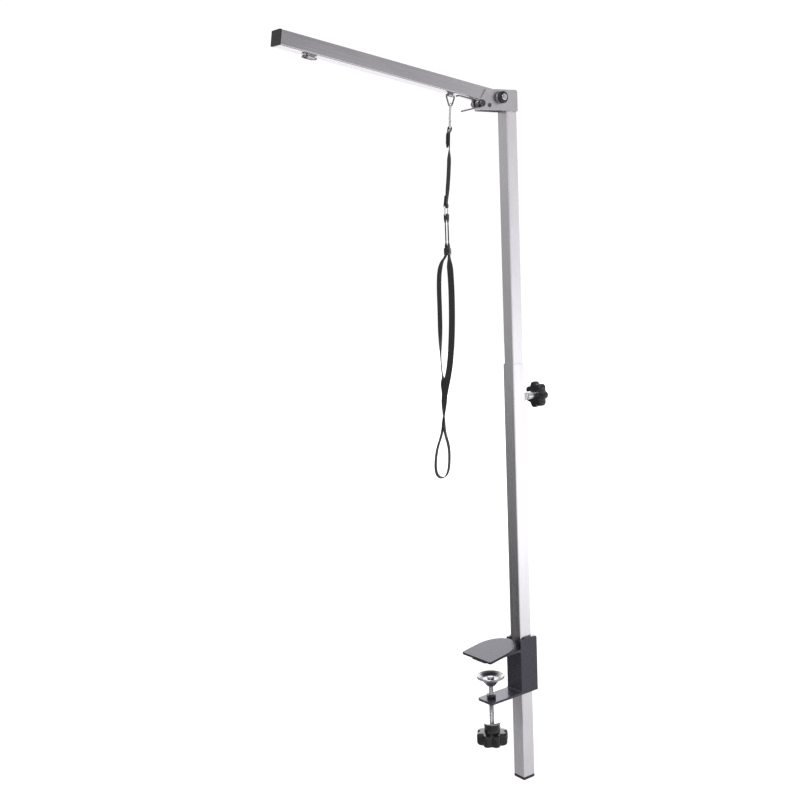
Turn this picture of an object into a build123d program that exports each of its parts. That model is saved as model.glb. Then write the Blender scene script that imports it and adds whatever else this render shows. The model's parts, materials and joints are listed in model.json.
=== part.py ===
from build123d import *
import math
import os

# Clamp-on grooming arm: a screw clamp for a table's edge carries a telescopic square post, a folding arm
# and a webbing noose. Millimetres, +Z up. The origin is where the clamp screw's axis meets the underside
# of the upper jaw. The arm and the jaws point along -X from the post.

# ---- driving dimensions ----
STEEL = 4.0  # thickness of the clamp's plate
JAW_HALF = 17.5  # half width of the folded channel and of its jaw strips
THROAT = 71.0  # height between the jaw strips
POST_X = 71.0  # post's axis, behind the screw's axis
OUTER = 25.0  # outer tube, across
INNER = 22.0  # inner tube and arm tube, across
TUBE_WALL = 1.2
TUBE_PLAY = 0.5  # between the outer tube and the channel round it
OUTER_BOTTOM = -228.0
OUTER_TOP = 483.5
INNER_BOTTOM = 45.0
BRACKET_BOTTOM = 886.0
BRACKET_TOP = 919.0
BRACKET_SHEET = 2.0
ARM_TILT = 9.1  # degrees above the horizontal
ARM_AXIS_Z = 901.8  # where the arm's centre line crosses the post's axis
ARM_REAR = 13.0  # arm's ends, along its own centre line from the post's axis
ARM_FRONT = 430.0
FOLD_X = -4.5  # fold pivot
FOLD_Z = 894.0
ARM_BOLT_S = 25.8  # clamp bolt of the arm, along the arm's centre line
LOCK_Z = 426.5  # height of the post's lock knob
PAD_TOP = -31.0  # rim of the clamp pad
SCREW_R = 4.0
RUNNING = 0.05  # radial clearance of a shaft that turns or slides in its hole
WIRE_R = 1.25
EDGE_BREAK = 0.8  # chamfer on turned and threaded pieces
ROUND_EDGE = 0.8  # soft edge of moulded caps and turned heads
WEB_WIDTH = 10.0  # noose webbing
WEB_THICK = 1.6

os.makedirs("parts", exist_ok=True)

# ---- shared planes ----
tilt = math.radians(ARM_TILT)
arm_dir = Vector(-math.cos(tilt), 0, math.sin(tilt))
# Side view of the arm: x runs along the arm from the post's axis, y is up from the arm's centre line.
arm_side = Plane(origin=(POST_X, 0, ARM_AXIS_Z), x_dir=arm_dir, z_dir=(0, 1, 0))
fold_local = arm_side.to_local_coords(Vector(FOLD_X, 0, FOLD_Z))


def upright(x=0.0, y=0.0, z=0.0):
    """Upright view plane seen from -Y, with its origin at a point: x along X, y along Z."""
    return Plane(origin=(x, y, z), x_dir=(1, 0, 0), z_dir=(0, -1, 0))


def finish(part, label):
    part.label = label
    export_step(part, f"parts/{label}.step")


def bend_radii(points):
    """Radius at each inner corner: 0.45 of the shorter run, over the tangent of half the turn."""
    radii = []
    for before, corner, after in zip(points, points[1:], points[2:]):
        run_in = Vector(corner) - Vector(before)
        run_out = Vector(after) - Vector(corner)
        half_turn = math.radians(run_in.get_angle(run_out)) / 2
        radii.append(0.45 * min(run_in.length, run_out.length) / math.tan(half_turn))
    return radii


# =====================================================================================
# Clamp
# =====================================================================================
WEB_X = POST_X - OUTER / 2 - TUBE_PLAY - STEEL  # front face of the channel's web
CHEEK_DEPTH = 37.0
CHEEK_REAR = WEB_X + CHEEK_DEPTH
JAW_TIP = -15.0
UPPER_TIP = -26.0
JAW_LOW = -THROAT - STEEL
CHEEK_TOP = 20.5
SHOULDER_DROP = 2.0  # the cheeks' top edge is lower in front
RAMP_FRONT = 6.0  # the step in the cheeks' top edge, behind the web's front face
RAMP_BACK = 14.0
JAW_BEND = 3.0
CORNER_R = 4.0
BOSS_SPIGOT = 6.0  # radius of the threaded boss where it goes through the lower jaw
TOL = 0.1  # half width of the bands that pick edges

with BuildPart() as clamp_channel:
    with BuildSketch(upright()):
        with BuildLine():
            Polyline(
                (UPPER_TIP, 0),
                (WEB_X, 0),
                (WEB_X, -THROAT),
                (JAW_TIP, -THROAT),
                (JAW_TIP, JAW_LOW),
                (WEB_X + STEEL, JAW_LOW),
                (WEB_X + STEEL, STEEL),
                (UPPER_TIP, STEEL),
                close=True,
            )
        make_face()
    extrude(amount=JAW_HALF, both=True)
    jaw_bends = (
        clamp_channel.edges()
        .filter_by(Axis.Y)
        .filter_by_position(Axis.X, WEB_X - TOL, WEB_X + TOL)
        .filter_by_position(Axis.Z, -THROAT - TOL, TOL)
    )
    fillet(jaw_bends, radius=JAW_BEND)
    for side in (1, -1):
        with BuildSketch(upright(y=side * JAW_HALF)):
            with BuildLine():
                Polyline(
                    (WEB_X, JAW_LOW),
                    (CHEEK_REAR, JAW_LOW),
                    (CHEEK_REAR, CHEEK_TOP),
                    (WEB_X + RAMP_BACK, CHEEK_TOP),
                    (WEB_X + RAMP_FRONT, CHEEK_TOP - SHOULDER_DROP),
                    (WEB_X, CHEEK_TOP - SHOULDER_DROP),
                    close=True,
                )
            make_face()
        extrude(amount=side * STEEL)
    jaw_corners = (
        clamp_channel.edges()
        .filter_by(Axis.Z)
        .filter_by_position(Axis.X, UPPER_TIP - TOL, JAW_TIP + TOL)
    )
    fillet(jaw_corners, radius=CORNER_R)
    cheek_corners = (
        clamp_channel.edges()
        .filter_by(Axis.Y)
        .filter_by_position(Axis.Z, CHEEK_TOP - SHOULDER_DROP - TOL, CHEEK_TOP + TOL)
        .filter_by_position(Axis.X, WEB_X + STEEL, CHEEK_REAR + TOL)
    )
    fillet(cheek_corners, radius=CORNER_R)
    with BuildSketch(Plane.XY.offset(-THROAT)):
        Circle(BOSS_SPIGOT)
    extrude(amount=-STEEL, mode=Mode.SUBTRACT)
finish(clamp_channel.part, "clamp_channel")

# ---- wide plate over the upper strip: it rises from its straight front edge to its rounded back ----
PLATE_FRONT = -31.0
PLATE_RISE = 8.5  # degrees
PLATE_LENGTH = 80.0  # along the slope
PLATE_STRAIGHT = 36.0  # sides are straight back to here
PLATE_HALF = 35.5
PLATE_T = 4.0
PLATE_RIM = 1.0
RIB_T = 4.0
RIB_BACK = 75.0  # back end of the two ribs that carry the plate, along the slope
rise = math.radians(PLATE_RISE)
plate_face = Plane(
    origin=(PLATE_FRONT, 0, STEEL),
    x_dir=(math.cos(rise), 0, math.sin(rise)),
    z_dir=(-math.sin(rise), 0, math.cos(rise)),
)
rib_end = PLATE_FRONT + RIB_BACK * math.cos(rise)
rib_high = STEEL + RIB_BACK * math.sin(rise) + PLATE_T / 2
rib_low = STEEL + (UPPER_TIP - PLATE_FRONT) * math.tan(rise) + PLATE_T / 2

with BuildPart() as top_plate:
    with BuildSketch(plate_face):
        with BuildLine():
            Line((PLATE_STRAIGHT, -PLATE_HALF), (0, -PLATE_HALF))
            Line((0, -PLATE_HALF), (0, PLATE_HALF))
            Line((0, PLATE_HALF), (PLATE_STRAIGHT, PLATE_HALF))
            EllipticalCenterArc(
                (PLATE_STRAIGHT, 0), PLATE_LENGTH - PLATE_STRAIGHT, PLATE_HALF, start_angle=-90, arc_size=180
            )
        make_face()
    extrude(amount=PLATE_T)
    plate_tips = top_plate.edges().filter_by(Axis(plate_face.origin, plate_face.z_dir)).sort_by(Axis.X)[0:2]
    fillet(plate_tips, radius=CORNER_R)
    plate_rims = top_plate.faces().filter_by(Axis(plate_face.origin, plate_face.z_dir)).edges()
    fillet(plate_rims, radius=PLATE_RIM)
    for side in (1, -1):
        with BuildSketch(upright(y=side * JAW_HALF)):
            with BuildLine():
                Polyline(
                    (UPPER_TIP, STEEL),
                    (rib_end, STEEL),
                    (rib_end, rib_high),
                    (UPPER_TIP, rib_low),
                    close=True,
                )
            make_face()
        extrude(amount=side * RIB_T)
finish(top_plate.part, "top_plate")

# ---- threaded boss in the lower jaw: hex above the strip, plain spigot through it ----
BOSS_TOP = -63.5
BOSS_FLAT = 7.0  # half of the hex across its flats
BOSS_PROUD = 2.5  # of the boss, below the jaw
BOSS_TAIL = JAW_LOW - BOSS_PROUD

with BuildPart() as jaw_nut:
    with BuildSketch(Plane.XY.offset(-THROAT)):
        RegularPolygon(radius=BOSS_FLAT, side_count=6, major_radius=False)
    extrude(amount=BOSS_TOP + THROAT)
    with BuildSketch(Plane.XY.offset(-THROAT)):
        Circle(BOSS_SPIGOT)
    extrude(amount=BOSS_TAIL + THROAT)
    chamfer(jaw_nut.faces().sort_by(Axis.Z)[-1].edges(), length=EDGE_BREAK)
    with BuildSketch(Plane.XY.offset(BOSS_TOP)):
        Circle(SCREW_R + RUNNING)
    extrude(amount=BOSS_TAIL - BOSS_TOP, mode=Mode.SUBTRACT)
finish(jaw_nut.part, "jaw_nut")

# ---- swivel pad: pressed dish with a boss below, turned from one profile ----
STUD_R = 2.9
PAD_FLOOR_HOLE = 3.7
BOSS_CAVITY = 5.0

with BuildPart() as clamp_pad:
    with BuildSketch(upright(z=PAD_TOP)):
        with BuildLine():
            Polyline(
                (PAD_FLOOR_HOLE, -6.0),
                (13.5, -6.0),
                (19.0, -1.8),
                (22.4, 0),
                (23.0, -0.8),
                (22.8, -3.2),
                (20.5, -4.2),
                (14.5, -8.0),
                (12.6, -10.0),
                (7.0, -17.0),
                (BOSS_CAVITY, -17.0),
                (BOSS_CAVITY, -8.0),
                (PAD_FLOOR_HOLE, -8.0),
                close=True,
            )
        make_face()
    revolve(axis=Axis.Z)
finish(clamp_pad.part, "clamp_pad")

# ---- ball stud that the pad tilts on ----
STUD_HEAD = PAD_TOP - 5.4  # underside of the domed head, clear of the dish's floor
STUD_LOW = PAD_TOP - 14.5
STUD_HEAD_R = 5.6
STUD_DOME = 3.0
STUD_ROUND = 2.4
STUD_PLAY = 0.5  # above the bottom of the stud's hole in the screw

with BuildPart() as pad_stud:
    with BuildSketch(Plane.XY.offset(STUD_LOW)):
        Circle(STUD_R)
    extrude(amount=STUD_HEAD - STUD_LOW)
    with BuildSketch(Plane.XY.offset(STUD_HEAD)):
        Circle(STUD_HEAD_R)
    extrude(amount=STUD_DOME)
    fillet(pad_stud.edges().group_by(Axis.Z)[-1], radius=STUD_ROUND)
finish(pad_stud.part, "pad_stud")

# ---- clamp screw and its hand knob ----
SCREW_TOP = PAD_TOP - 9.0
SCREW_LOW = -142.0
HUB_TOP = -112.0
HUB_LOW = -128.0
KNOB_LOW = -149.0
KNOB_R = 27.0
HUB_R = 14.5
LOBE_GAP_AT = 1.13  # a star knob's round gaps: where their centres are and their radius,
LOBE_GAP = 0.3  # as shares of the knob's radius
KNOB_ROUND = 0.14  # soft edge, as a share of its depth

with BuildPart() as clamp_screw:
    with BuildSketch(Plane.XY.offset(SCREW_LOW)):
        Circle(SCREW_R)
    extrude(amount=SCREW_TOP - SCREW_LOW)
    chamfer(clamp_screw.edges().group_by(Axis.Z)[-1], length=EDGE_BREAK)
    with BuildSketch(Plane.XY.offset(SCREW_TOP)):
        Circle(STUD_R + RUNNING)
    extrude(amount=STUD_LOW - SCREW_TOP - STUD_PLAY, mode=Mode.SUBTRACT)
finish(clamp_screw.part, "clamp_screw")

with BuildPart() as knob_collar:
    with BuildSketch(Plane.XY.offset(HUB_LOW)):
        Circle(HUB_R)
        Circle(SCREW_R, mode=Mode.SUBTRACT)
    extrude(amount=HUB_TOP - HUB_LOW)
    chamfer(knob_collar.faces().sort_by(Axis.Z)[-1].edges(), length=EDGE_BREAK)
finish(knob_collar.part, "knob_collar")


def star_knob(plane, radius, depth, lobes, bore, bore_depth):
    """Star knob that grows from a plane, with round gaps between its lobes and a blind bore."""
    with BuildPart() as knob:
        with BuildSketch(plane):
            Circle(radius)
            with PolarLocations(radius * LOBE_GAP_AT, lobes):
                Circle(radius * LOBE_GAP, mode=Mode.SUBTRACT)
        extrude(amount=depth)
        ends = knob.faces().filter_by(Axis(plane.origin, plane.z_dir))
        fillet(ends.edges(), radius=depth * KNOB_ROUND)
        with BuildSketch(plane):
            Circle(bore)
        extrude(amount=bore_depth, mode=Mode.SUBTRACT)
    return knob.part


knob_face = Plane(origin=(0, 0, HUB_LOW), z_dir=(0, 0, -1))
CLAMP_LOBES = 8
clamp_knob = star_knob(
    knob_face, KNOB_R, HUB_LOW - KNOB_LOW, CLAMP_LOBES, SCREW_R, HUB_LOW - SCREW_LOW
)
finish(clamp_knob, "clamp_knob")

# ---- weld beads that join the outer tube to the cheeks, along the tube's back corners ----
BEAD = 4.0
BEAD_INSET = 6.0  # from the cheeks' ends

with BuildPart() as weld_beads:
    for side in (1, -1):
        with BuildSketch(Plane.XY.offset(JAW_LOW + BEAD_INSET)):
            with BuildLine():
                corner = (POST_X + OUTER / 2, side * (JAW_HALF - STEEL))
                Line(corner, (corner[0] + BEAD, corner[1]))
                RadiusArc(
                    (corner[0] + BEAD, corner[1]), (corner[0], corner[1] - side * BEAD), -side * BEAD
                )
                Line((corner[0], corner[1] - side * BEAD), corner)
            make_face()
        extrude(amount=CHEEK_TOP - JAW_LOW - 2 * BEAD_INSET)
finish(weld_beads.part, "weld_beads")

# =====================================================================================
# Post
# =====================================================================================
LOCK_BORE = SCREW_R + RUNNING
OUTER_CORNER = 1.8
INNER_CORNER = 1.6
PLUG_CORNER = 1.0
PLUG_WALL = 1.5
PLUG_PLAY = 0.2


def square_tube(plane, across, wall, length, corner):
    """Square tube that grows from a plane at the middle of its end."""
    with BuildPart() as tube:
        with BuildSketch(plane):
            RectangleRounded(across, across, corner)
            RectangleRounded(across - 2 * wall, across - 2 * wall, corner - wall / 2, mode=Mode.SUBTRACT)
        extrude(amount=length)
    return tube.part


def square_plug(plane, cap, insert, cap_depth, insert_depth):
    """Plastic plug: a cap across the tube's end, below the plane, and an insert inside the tube above it."""
    with BuildPart() as plug:
        with BuildSketch(plane):
            RectangleRounded(cap, cap, INNER_CORNER)
        extrude(amount=-cap_depth)
        fillet(plug.faces().sort_by(Axis(plane.origin, plane.z_dir))[0].edges(), radius=ROUND_EDGE)
        with BuildSketch(plane):
            RectangleRounded(insert, insert, PLUG_CORNER)
            hollow = insert - 2 * PLUG_WALL
            RectangleRounded(hollow, hollow, PLUG_CORNER - PLUG_PLAY, mode=Mode.SUBTRACT)
        extrude(amount=insert_depth)
    return plug.part


outer_low = Plane(origin=(POST_X, 0, OUTER_BOTTOM))
outer_tube_raw = square_tube(outer_low, OUTER, TUBE_WALL, OUTER_TOP - OUTER_BOTTOM, OUTER_CORNER)
with BuildPart() as outer_tube:
    add(outer_tube_raw)
    with BuildSketch(Plane.YZ.offset(POST_X)):
        with Locations((0, LOCK_Z)):
            Circle(LOCK_BORE)
    extrude(amount=OUTER, mode=Mode.SUBTRACT)
finish(outer_tube.part, "outer_tube")

CAP_DEPTH = 3.0
CAP_INSERT = 12.0
bottom_cap = square_plug(outer_low, OUTER, OUTER - 2 * TUBE_WALL - PLUG_PLAY, CAP_DEPTH, CAP_INSERT)
finish(bottom_cap, "bottom_cap")

inner_low = Plane(origin=(POST_X, 0, INNER_BOTTOM))
inner_tube = square_tube(inner_low, INNER, TUBE_WALL, BRACKET_BOTTOM - INNER_BOTTOM, INNER_CORNER)
finish(inner_tube, "inner_tube")

GUIDE_PLAY = 0.3  # the guide's cap is this much wider than the inner tube
GUIDE_DEPTH = 5.0
GUIDE_INSERT = 14.0
tube_inside = INNER - 2 * TUBE_WALL
guide_plug = square_plug(
    inner_low, INNER + GUIDE_PLAY, tube_inside - PLUG_PLAY, GUIDE_DEPTH, GUIDE_INSERT
)
finish(guide_plug, "guide_plug")

# ---- lock: welded nut, shoe that bears on the inner tube, screw with a collar, star knob ----
TUBE_BACK = POST_X + OUTER / 2
NUT_LENGTH = 10.0
NUT_R = 7.0  # half of the hex across its flats
SHOE_X = POST_X + INNER / 2 + RUNNING
SHOE_LENGTH = 3.0
SHOE_R = 3.9
COLLAR_GAP = 4.5  # bare screw between the nut and the collar
COLLAR_X = TUBE_BACK + NUT_LENGTH + COLLAR_GAP
COLLAR_R = 6.5
BORE_END = 4.0  # of the knob beyond its blind bore
LOCK_LOBES = 7
KNOB_X = 115.5
LOCK_KNOB_DEPTH = 13.0
LOCK_KNOB_R = 22.5
across_post = Plane(origin=(0, 0, LOCK_Z), x_dir=(0, 1, 0), z_dir=(1, 0, 0))

with BuildPart() as lock_nut:
    with BuildSketch(across_post.offset(TUBE_BACK)):
        RegularPolygon(radius=NUT_R, side_count=6, major_radius=False)
    extrude(amount=NUT_LENGTH)
    chamfer(lock_nut.faces().sort_by(Axis.X)[-1].edges(), length=EDGE_BREAK)
    with BuildSketch(across_post.offset(TUBE_BACK)):
        Circle(LOCK_BORE)
    extrude(amount=NUT_LENGTH, mode=Mode.SUBTRACT)
finish(lock_nut.part, "lock_nut")

with BuildPart() as lock_shoe:
    with BuildSketch(across_post.offset(SHOE_X)):
        Circle(SHOE_R)
    extrude(amount=SHOE_LENGTH)
finish(lock_shoe.part, "lock_shoe")

with BuildPart() as lock_screw:
    with BuildSketch(across_post.offset(SHOE_X + SHOE_LENGTH)):
        Circle(SCREW_R)
    extrude(amount=KNOB_X + LOCK_KNOB_DEPTH - BORE_END - SHOE_X - SHOE_LENGTH)
    with BuildSketch(across_post.offset(COLLAR_X)):
        Circle(COLLAR_R)
    extrude(amount=KNOB_X - COLLAR_X)
    collar_rims = lock_screw.edges().filter_by(GeomType.CIRCLE)
    collar_rims = collar_rims.filter_by_position(Axis.X, COLLAR_X - TOL, COLLAR_X + TOL)
    chamfer(collar_rims.sort_by(SortBy.LENGTH)[-1], length=EDGE_BREAK)
finish(lock_screw.part, "lock_screw")

lock_face = across_post.offset(KNOB_X)
lock_knob = star_knob(
    lock_face, LOCK_KNOB_R, LOCK_KNOB_DEPTH, LOCK_LOBES, SCREW_R, LOCK_KNOB_DEPTH - BORE_END
)
finish(lock_knob, "lock_knob")

# =====================================================================================
# Bracket on the post's top
# =====================================================================================
CHEEK_PLAY = 0.3  # between the arm and each cheek
CHEEK_IN = INNER / 2 + CHEEK_PLAY  # inner face of each bracket cheek
CHEEK_OUT = CHEEK_IN + BRACKET_SHEET
BRACKET_BEHIND = 12.0
BRACKET_BACK = POST_X + BRACKET_BEHIND
LOBE_R = 8.0
PIN_R = 3.0
bolt_at = arm_side.from_local_coords(Vector(ARM_BOLT_S, 0, 0))
BOLT_HEAD_R = 6.6

REST_X = 22.0  # cross rivet and sleeve that the arm rests on
REST_Z = 893.4
REST_SLEEVE_R = 4.8
RIVET_R = 2.0

FAR_FRONT = 14.0  # front edge of the far cheek, which has no hinge ear
NOSE_TOP = POST_X - 55.0  # front end of the cheeks' top edge
NOSE_ROUND = 5.0
NOSE_RUN = 10.0  # the near cheek's edge slopes down over this run,
NOSE_STEP = 2.0  # to this much above the hinge ear
BACK_ROUND = 6.0  # radius of the cheeks' upper back corners

with BuildPart() as bracket:
    with BuildSketch(upright(y=-CHEEK_IN)):
        with BuildLine():
            Line((FOLD_X, BRACKET_BOTTOM), (BRACKET_BACK, BRACKET_BOTTOM))
            Polyline(
                (BRACKET_BACK, BRACKET_BOTTOM),
                (BRACKET_BACK, BRACKET_TOP),
                (NOSE_TOP, BRACKET_TOP - 1),
                (NOSE_TOP - NOSE_RUN, FOLD_Z + LOBE_R + NOSE_STEP),
                (FOLD_X, FOLD_Z + LOBE_R),
            )
            ThreePointArc((FOLD_X, FOLD_Z + LOBE_R), (FOLD_X - LOBE_R, FOLD_Z), (FOLD_X, BRACKET_BOTTOM))
        make_face()
    extrude(amount=BRACKET_SHEET)
    with BuildSketch(upright(y=CHEEK_OUT)):
        with BuildLine():
            Polyline(
                (FAR_FRONT, BRACKET_BOTTOM),
                (BRACKET_BACK, BRACKET_BOTTOM),
                (BRACKET_BACK, BRACKET_TOP),
                (NOSE_TOP, BRACKET_TOP - 1),
                close=True,
            )
        make_face()
    extrude(amount=BRACKET_SHEET)
    with BuildSketch(Plane.YZ.offset(BRACKET_BACK - BRACKET_SHEET)):
        with Locations((0, (BRACKET_BOTTOM + BRACKET_TOP) / 2)):
            Rectangle(2 * CHEEK_OUT, BRACKET_TOP - BRACKET_BOTTOM)
    extrude(amount=BRACKET_SHEET)
    with BuildSketch(Plane.XY.offset(BRACKET_BOTTOM)):
        with Locations((POST_X, 0)):
            Rectangle(2 * (BRACKET_BACK - POST_X), 2 * CHEEK_OUT)
    extrude(amount=BRACKET_SHEET)
    cheek_tops = (
        bracket.edges()
        .filter_by(Axis.Y)
        .filter_by_position(Axis.Z, BRACKET_TOP - 1 - TOL, BRACKET_TOP + TOL)
        .filter_by_position(Axis.X, NOSE_TOP - 1, NOSE_TOP + 1)
    )
    fillet(cheek_tops, radius=NOSE_ROUND)
    back_corners = (
        bracket.edges().filter_by(Axis.Z).filter_by_position(Axis.X, BRACKET_BACK - TOL, BRACKET_BACK + TOL)
    )
    fillet(back_corners, radius=BRACKET_SHEET * 0.9)
    with BuildSketch(upright()):
        with Locations((BRACKET_BACK - BACK_ROUND / 2, BRACKET_TOP - BACK_ROUND / 2)):
            Rectangle(BACK_ROUND, BACK_ROUND)
        with Locations((BRACKET_BACK - BACK_ROUND, BRACKET_TOP - BACK_ROUND)):
            Circle(BACK_ROUND, mode=Mode.SUBTRACT)
    extrude(amount=2 * CHEEK_OUT, both=True, mode=Mode.SUBTRACT)
    with BuildSketch(upright()):
        with Locations((FOLD_X, FOLD_Z)):
            Circle(PIN_R)
        with Locations((REST_X, REST_Z)):
            Circle(RIVET_R)
        with Locations((bolt_at.X, bolt_at.Z)):
            Circle(SCREW_R + RUNNING)
    extrude(amount=2 * CHEEK_OUT, both=True, mode=Mode.SUBTRACT)
finish(bracket.part, "bracket")

MAST_BEAD = 1.2

with BuildPart() as mast_weld:
    with BuildSketch(Plane.XY.offset(BRACKET_BOTTOM)):
        with Locations((POST_X, 0)):
            RectangleRounded(INNER + 2, INNER + 2, INNER_CORNER + 1)
            RectangleRounded(INNER, INNER, INNER_CORNER, mode=Mode.SUBTRACT)
    extrude(amount=-MAST_BEAD)
finish(mast_weld.part, "mast_weld")


def cross_rod(x, z, radius, low_y, high_y):
    """Plain round rod along Y."""
    with BuildPart() as rod:
        with BuildSketch(upright(x, high_y, z)):
            Circle(radius)
        extrude(amount=high_y - low_y)
    return rod.part


RIVET_HEAD_R = 3.2
RIVET_HEAD_T = 1.4

with BuildPart() as rest_rivet:
    add(cross_rod(REST_X, REST_Z, RIVET_R, -CHEEK_OUT, CHEEK_OUT))
    for side in (1, -1):
        with BuildSketch(upright(REST_X, side * CHEEK_OUT, REST_Z)):
            Circle(RIVET_HEAD_R)
        extrude(amount=-side * RIVET_HEAD_T)
    fillet(rest_rivet.edges().filter_by_position(Axis.Y, CHEEK_OUT + 1, CHEEK_OUT + 2), radius=ROUND_EDGE)
    fillet(rest_rivet.edges().filter_by_position(Axis.Y, -CHEEK_OUT - 2, -CHEEK_OUT - 1), radius=ROUND_EDGE)
finish(rest_rivet.part, "rest_rivet")

with BuildPart() as rest_sleeve:
    with BuildSketch(upright(REST_X, CHEEK_IN, REST_Z)):
        Circle(REST_SLEEVE_R)
        Circle(RIVET_R, mode=Mode.SUBTRACT)
    extrude(amount=2 * CHEEK_IN)
finish(rest_sleeve.part, "rest_sleeve")

# ---- hinge bolt with its cap; its nut is inside, behind the arm's ear ----
COIL_IN = 3.8
COIL_OUT = 6.3
COIL_GAP = 0.4
COIL_LENGTH = 10.0
COIL_NEAR = -CHEEK_OUT - COIL_GAP
COIL_FAR = COIL_NEAR - COIL_LENGTH
BOLT_TIP = COIL_FAR - 0.3
BOLT_CAP = 4.5
BOLT_ROUND = 2.0
BOLT_CAP_R = 5.6
EAR_OUT = INNER / 2 - 0.4  # the ear's outer face, from the arm's middle
EAR_T = 2.5
PIVOT_NUT_T = 3.5
PIVOT_NUT_R = 4.6  # half of the hex across its flats
PIVOT_NUT_GAP = 0.3
PIVOT_PROUD = 0.8  # of the bolt, beyond its nut
pivot_nut_face = -EAR_OUT + EAR_T + PIVOT_NUT_GAP

with BuildPart() as hinge_bolt:
    add(cross_rod(FOLD_X, FOLD_Z, PIN_R, BOLT_TIP, pivot_nut_face + PIVOT_NUT_T + PIVOT_PROUD))
    with BuildSketch(upright(FOLD_X, BOLT_TIP, FOLD_Z)):
        Circle(BOLT_CAP_R)
    extrude(amount=BOLT_CAP)
    fillet(hinge_bolt.faces().sort_by(Axis.Y)[0].edges(), radius=BOLT_ROUND)
finish(hinge_bolt.part, "hinge_bolt")

with BuildPart() as hinge_nut:
    with BuildSketch(upright(FOLD_X, pivot_nut_face, FOLD_Z)):
        RegularPolygon(radius=PIVOT_NUT_R, side_count=6, major_radius=False)
        Circle(PIN_R, mode=Mode.SUBTRACT)
    extrude(amount=-PIVOT_NUT_T)
finish(hinge_nut.part, "hinge_nut")

# ---- clamp bolt of the arm: washer, thumb wheel, bolt with a bright cap, welded nut ----
WASHER_T = 1.2
WHEEL_R = 9.5
WHEEL_T = 7.0
WHEEL_NEAR = -CHEEK_OUT - 0.1 - WASHER_T
WHEEL_FACE = WHEEL_NEAR - WHEEL_T
ARM_NUT_T = 7.0
ARM_NUT_R = 6.5  # half of the hex across its flats
ARM_BOLT_PROUD = 3.0
BOLT_HEAD_T = 2.0
KNURLS = 24
KNURL_R = 0.9
KNURL_OUT = 0.5  # the knurls' centres are this far outside the rim

with BuildPart() as arm_nut:
    with BuildSketch(upright(bolt_at.X, CHEEK_OUT, bolt_at.Z)):
        RegularPolygon(radius=ARM_NUT_R, side_count=6, major_radius=False)
        Circle(SCREW_R + RUNNING, mode=Mode.SUBTRACT)
    extrude(amount=-ARM_NUT_T)
finish(arm_nut.part, "arm_nut")

with BuildPart() as arm_washer:
    with BuildSketch(upright(bolt_at.X, WHEEL_NEAR + WASHER_T, bolt_at.Z)):
        Circle(WHEEL_R - 1)
        Circle(SCREW_R + RUNNING, mode=Mode.SUBTRACT)
    extrude(amount=WASHER_T)
finish(arm_washer.part, "arm_washer")

with BuildPart() as arm_wheel:
    with BuildSketch(upright(bolt_at.X, WHEEL_NEAR, bolt_at.Z)):
        Circle(WHEEL_R)
        with PolarLocations(WHEEL_R + KNURL_OUT, KNURLS):
            Circle(KNURL_R, mode=Mode.SUBTRACT)
        Circle(SCREW_R, mode=Mode.SUBTRACT)
    extrude(amount=WHEEL_T)
finish(arm_wheel.part, "arm_wheel")

with BuildPart() as arm_bolt:
    add(cross_rod(bolt_at.X, bolt_at.Z, SCREW_R, WHEEL_FACE, CHEEK_OUT + ARM_NUT_T + ARM_BOLT_PROUD))
    with BuildSketch(upright(bolt_at.X, WHEEL_FACE, bolt_at.Z)):
        Circle(BOLT_HEAD_R)
    extrude(amount=BOLT_HEAD_T)
    fillet(arm_bolt.faces().sort_by(Axis.Y)[0].edges(), radius=ROUND_EDGE)
finish(arm_bolt.part, "arm_bolt")

# =====================================================================================
# Arm
# =====================================================================================
NOTCH = 4.9  # half width of the open notch that drops over the clamp bolt
with BuildPart() as arm_tube:
    with BuildSketch(Plane(origin=arm_side.from_local_coords(Vector(ARM_REAR, 0, 0)), z_dir=arm_dir)):
        RectangleRounded(INNER, INNER, INNER_CORNER)
        RectangleRounded(tube_inside, tube_inside, INNER_CORNER - TUBE_WALL / 2, mode=Mode.SUBTRACT)
    extrude(amount=ARM_FRONT - ARM_REAR)
    with BuildSketch(arm_side):
        with Locations((ARM_BOLT_S, 0)):
            Circle(NOTCH)
        with BuildLine():
            Polyline(
                (ARM_BOLT_S - NOTCH, 0),
                (ARM_BOLT_S + NOTCH, 0),
                (ARM_BOLT_S + NOTCH / 2, -INNER),
                (ARM_BOLT_S - 3.2 * NOTCH, -INNER),
                (ARM_BOLT_S - 2 * NOTCH, -INNER / 2),
                close=True,
            )
        make_face()
    extrude(amount=INNER, both=True, mode=Mode.SUBTRACT)
finish(arm_tube.part, "arm_tube")

arm_end_plane = Plane(origin=arm_side.from_local_coords(Vector(ARM_FRONT, 0, 0)), z_dir=-arm_dir)
arm_end_cap = square_plug(arm_end_plane, INNER, tube_inside - PLUG_PLAY, CAP_DEPTH, CAP_INSERT)
finish(arm_end_cap, "arm_end_cap")

# ---- hinge lug welded under the arm: a flange and one ear, next to the bracket's hinge ear ----
LUG_HALF = 8.0
LUG_T = 2.0
LUG_REACH = -2.0  # inner edge of the flange
LUG_TOP = -INNER / 2
EAR_R = 6.8

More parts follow.
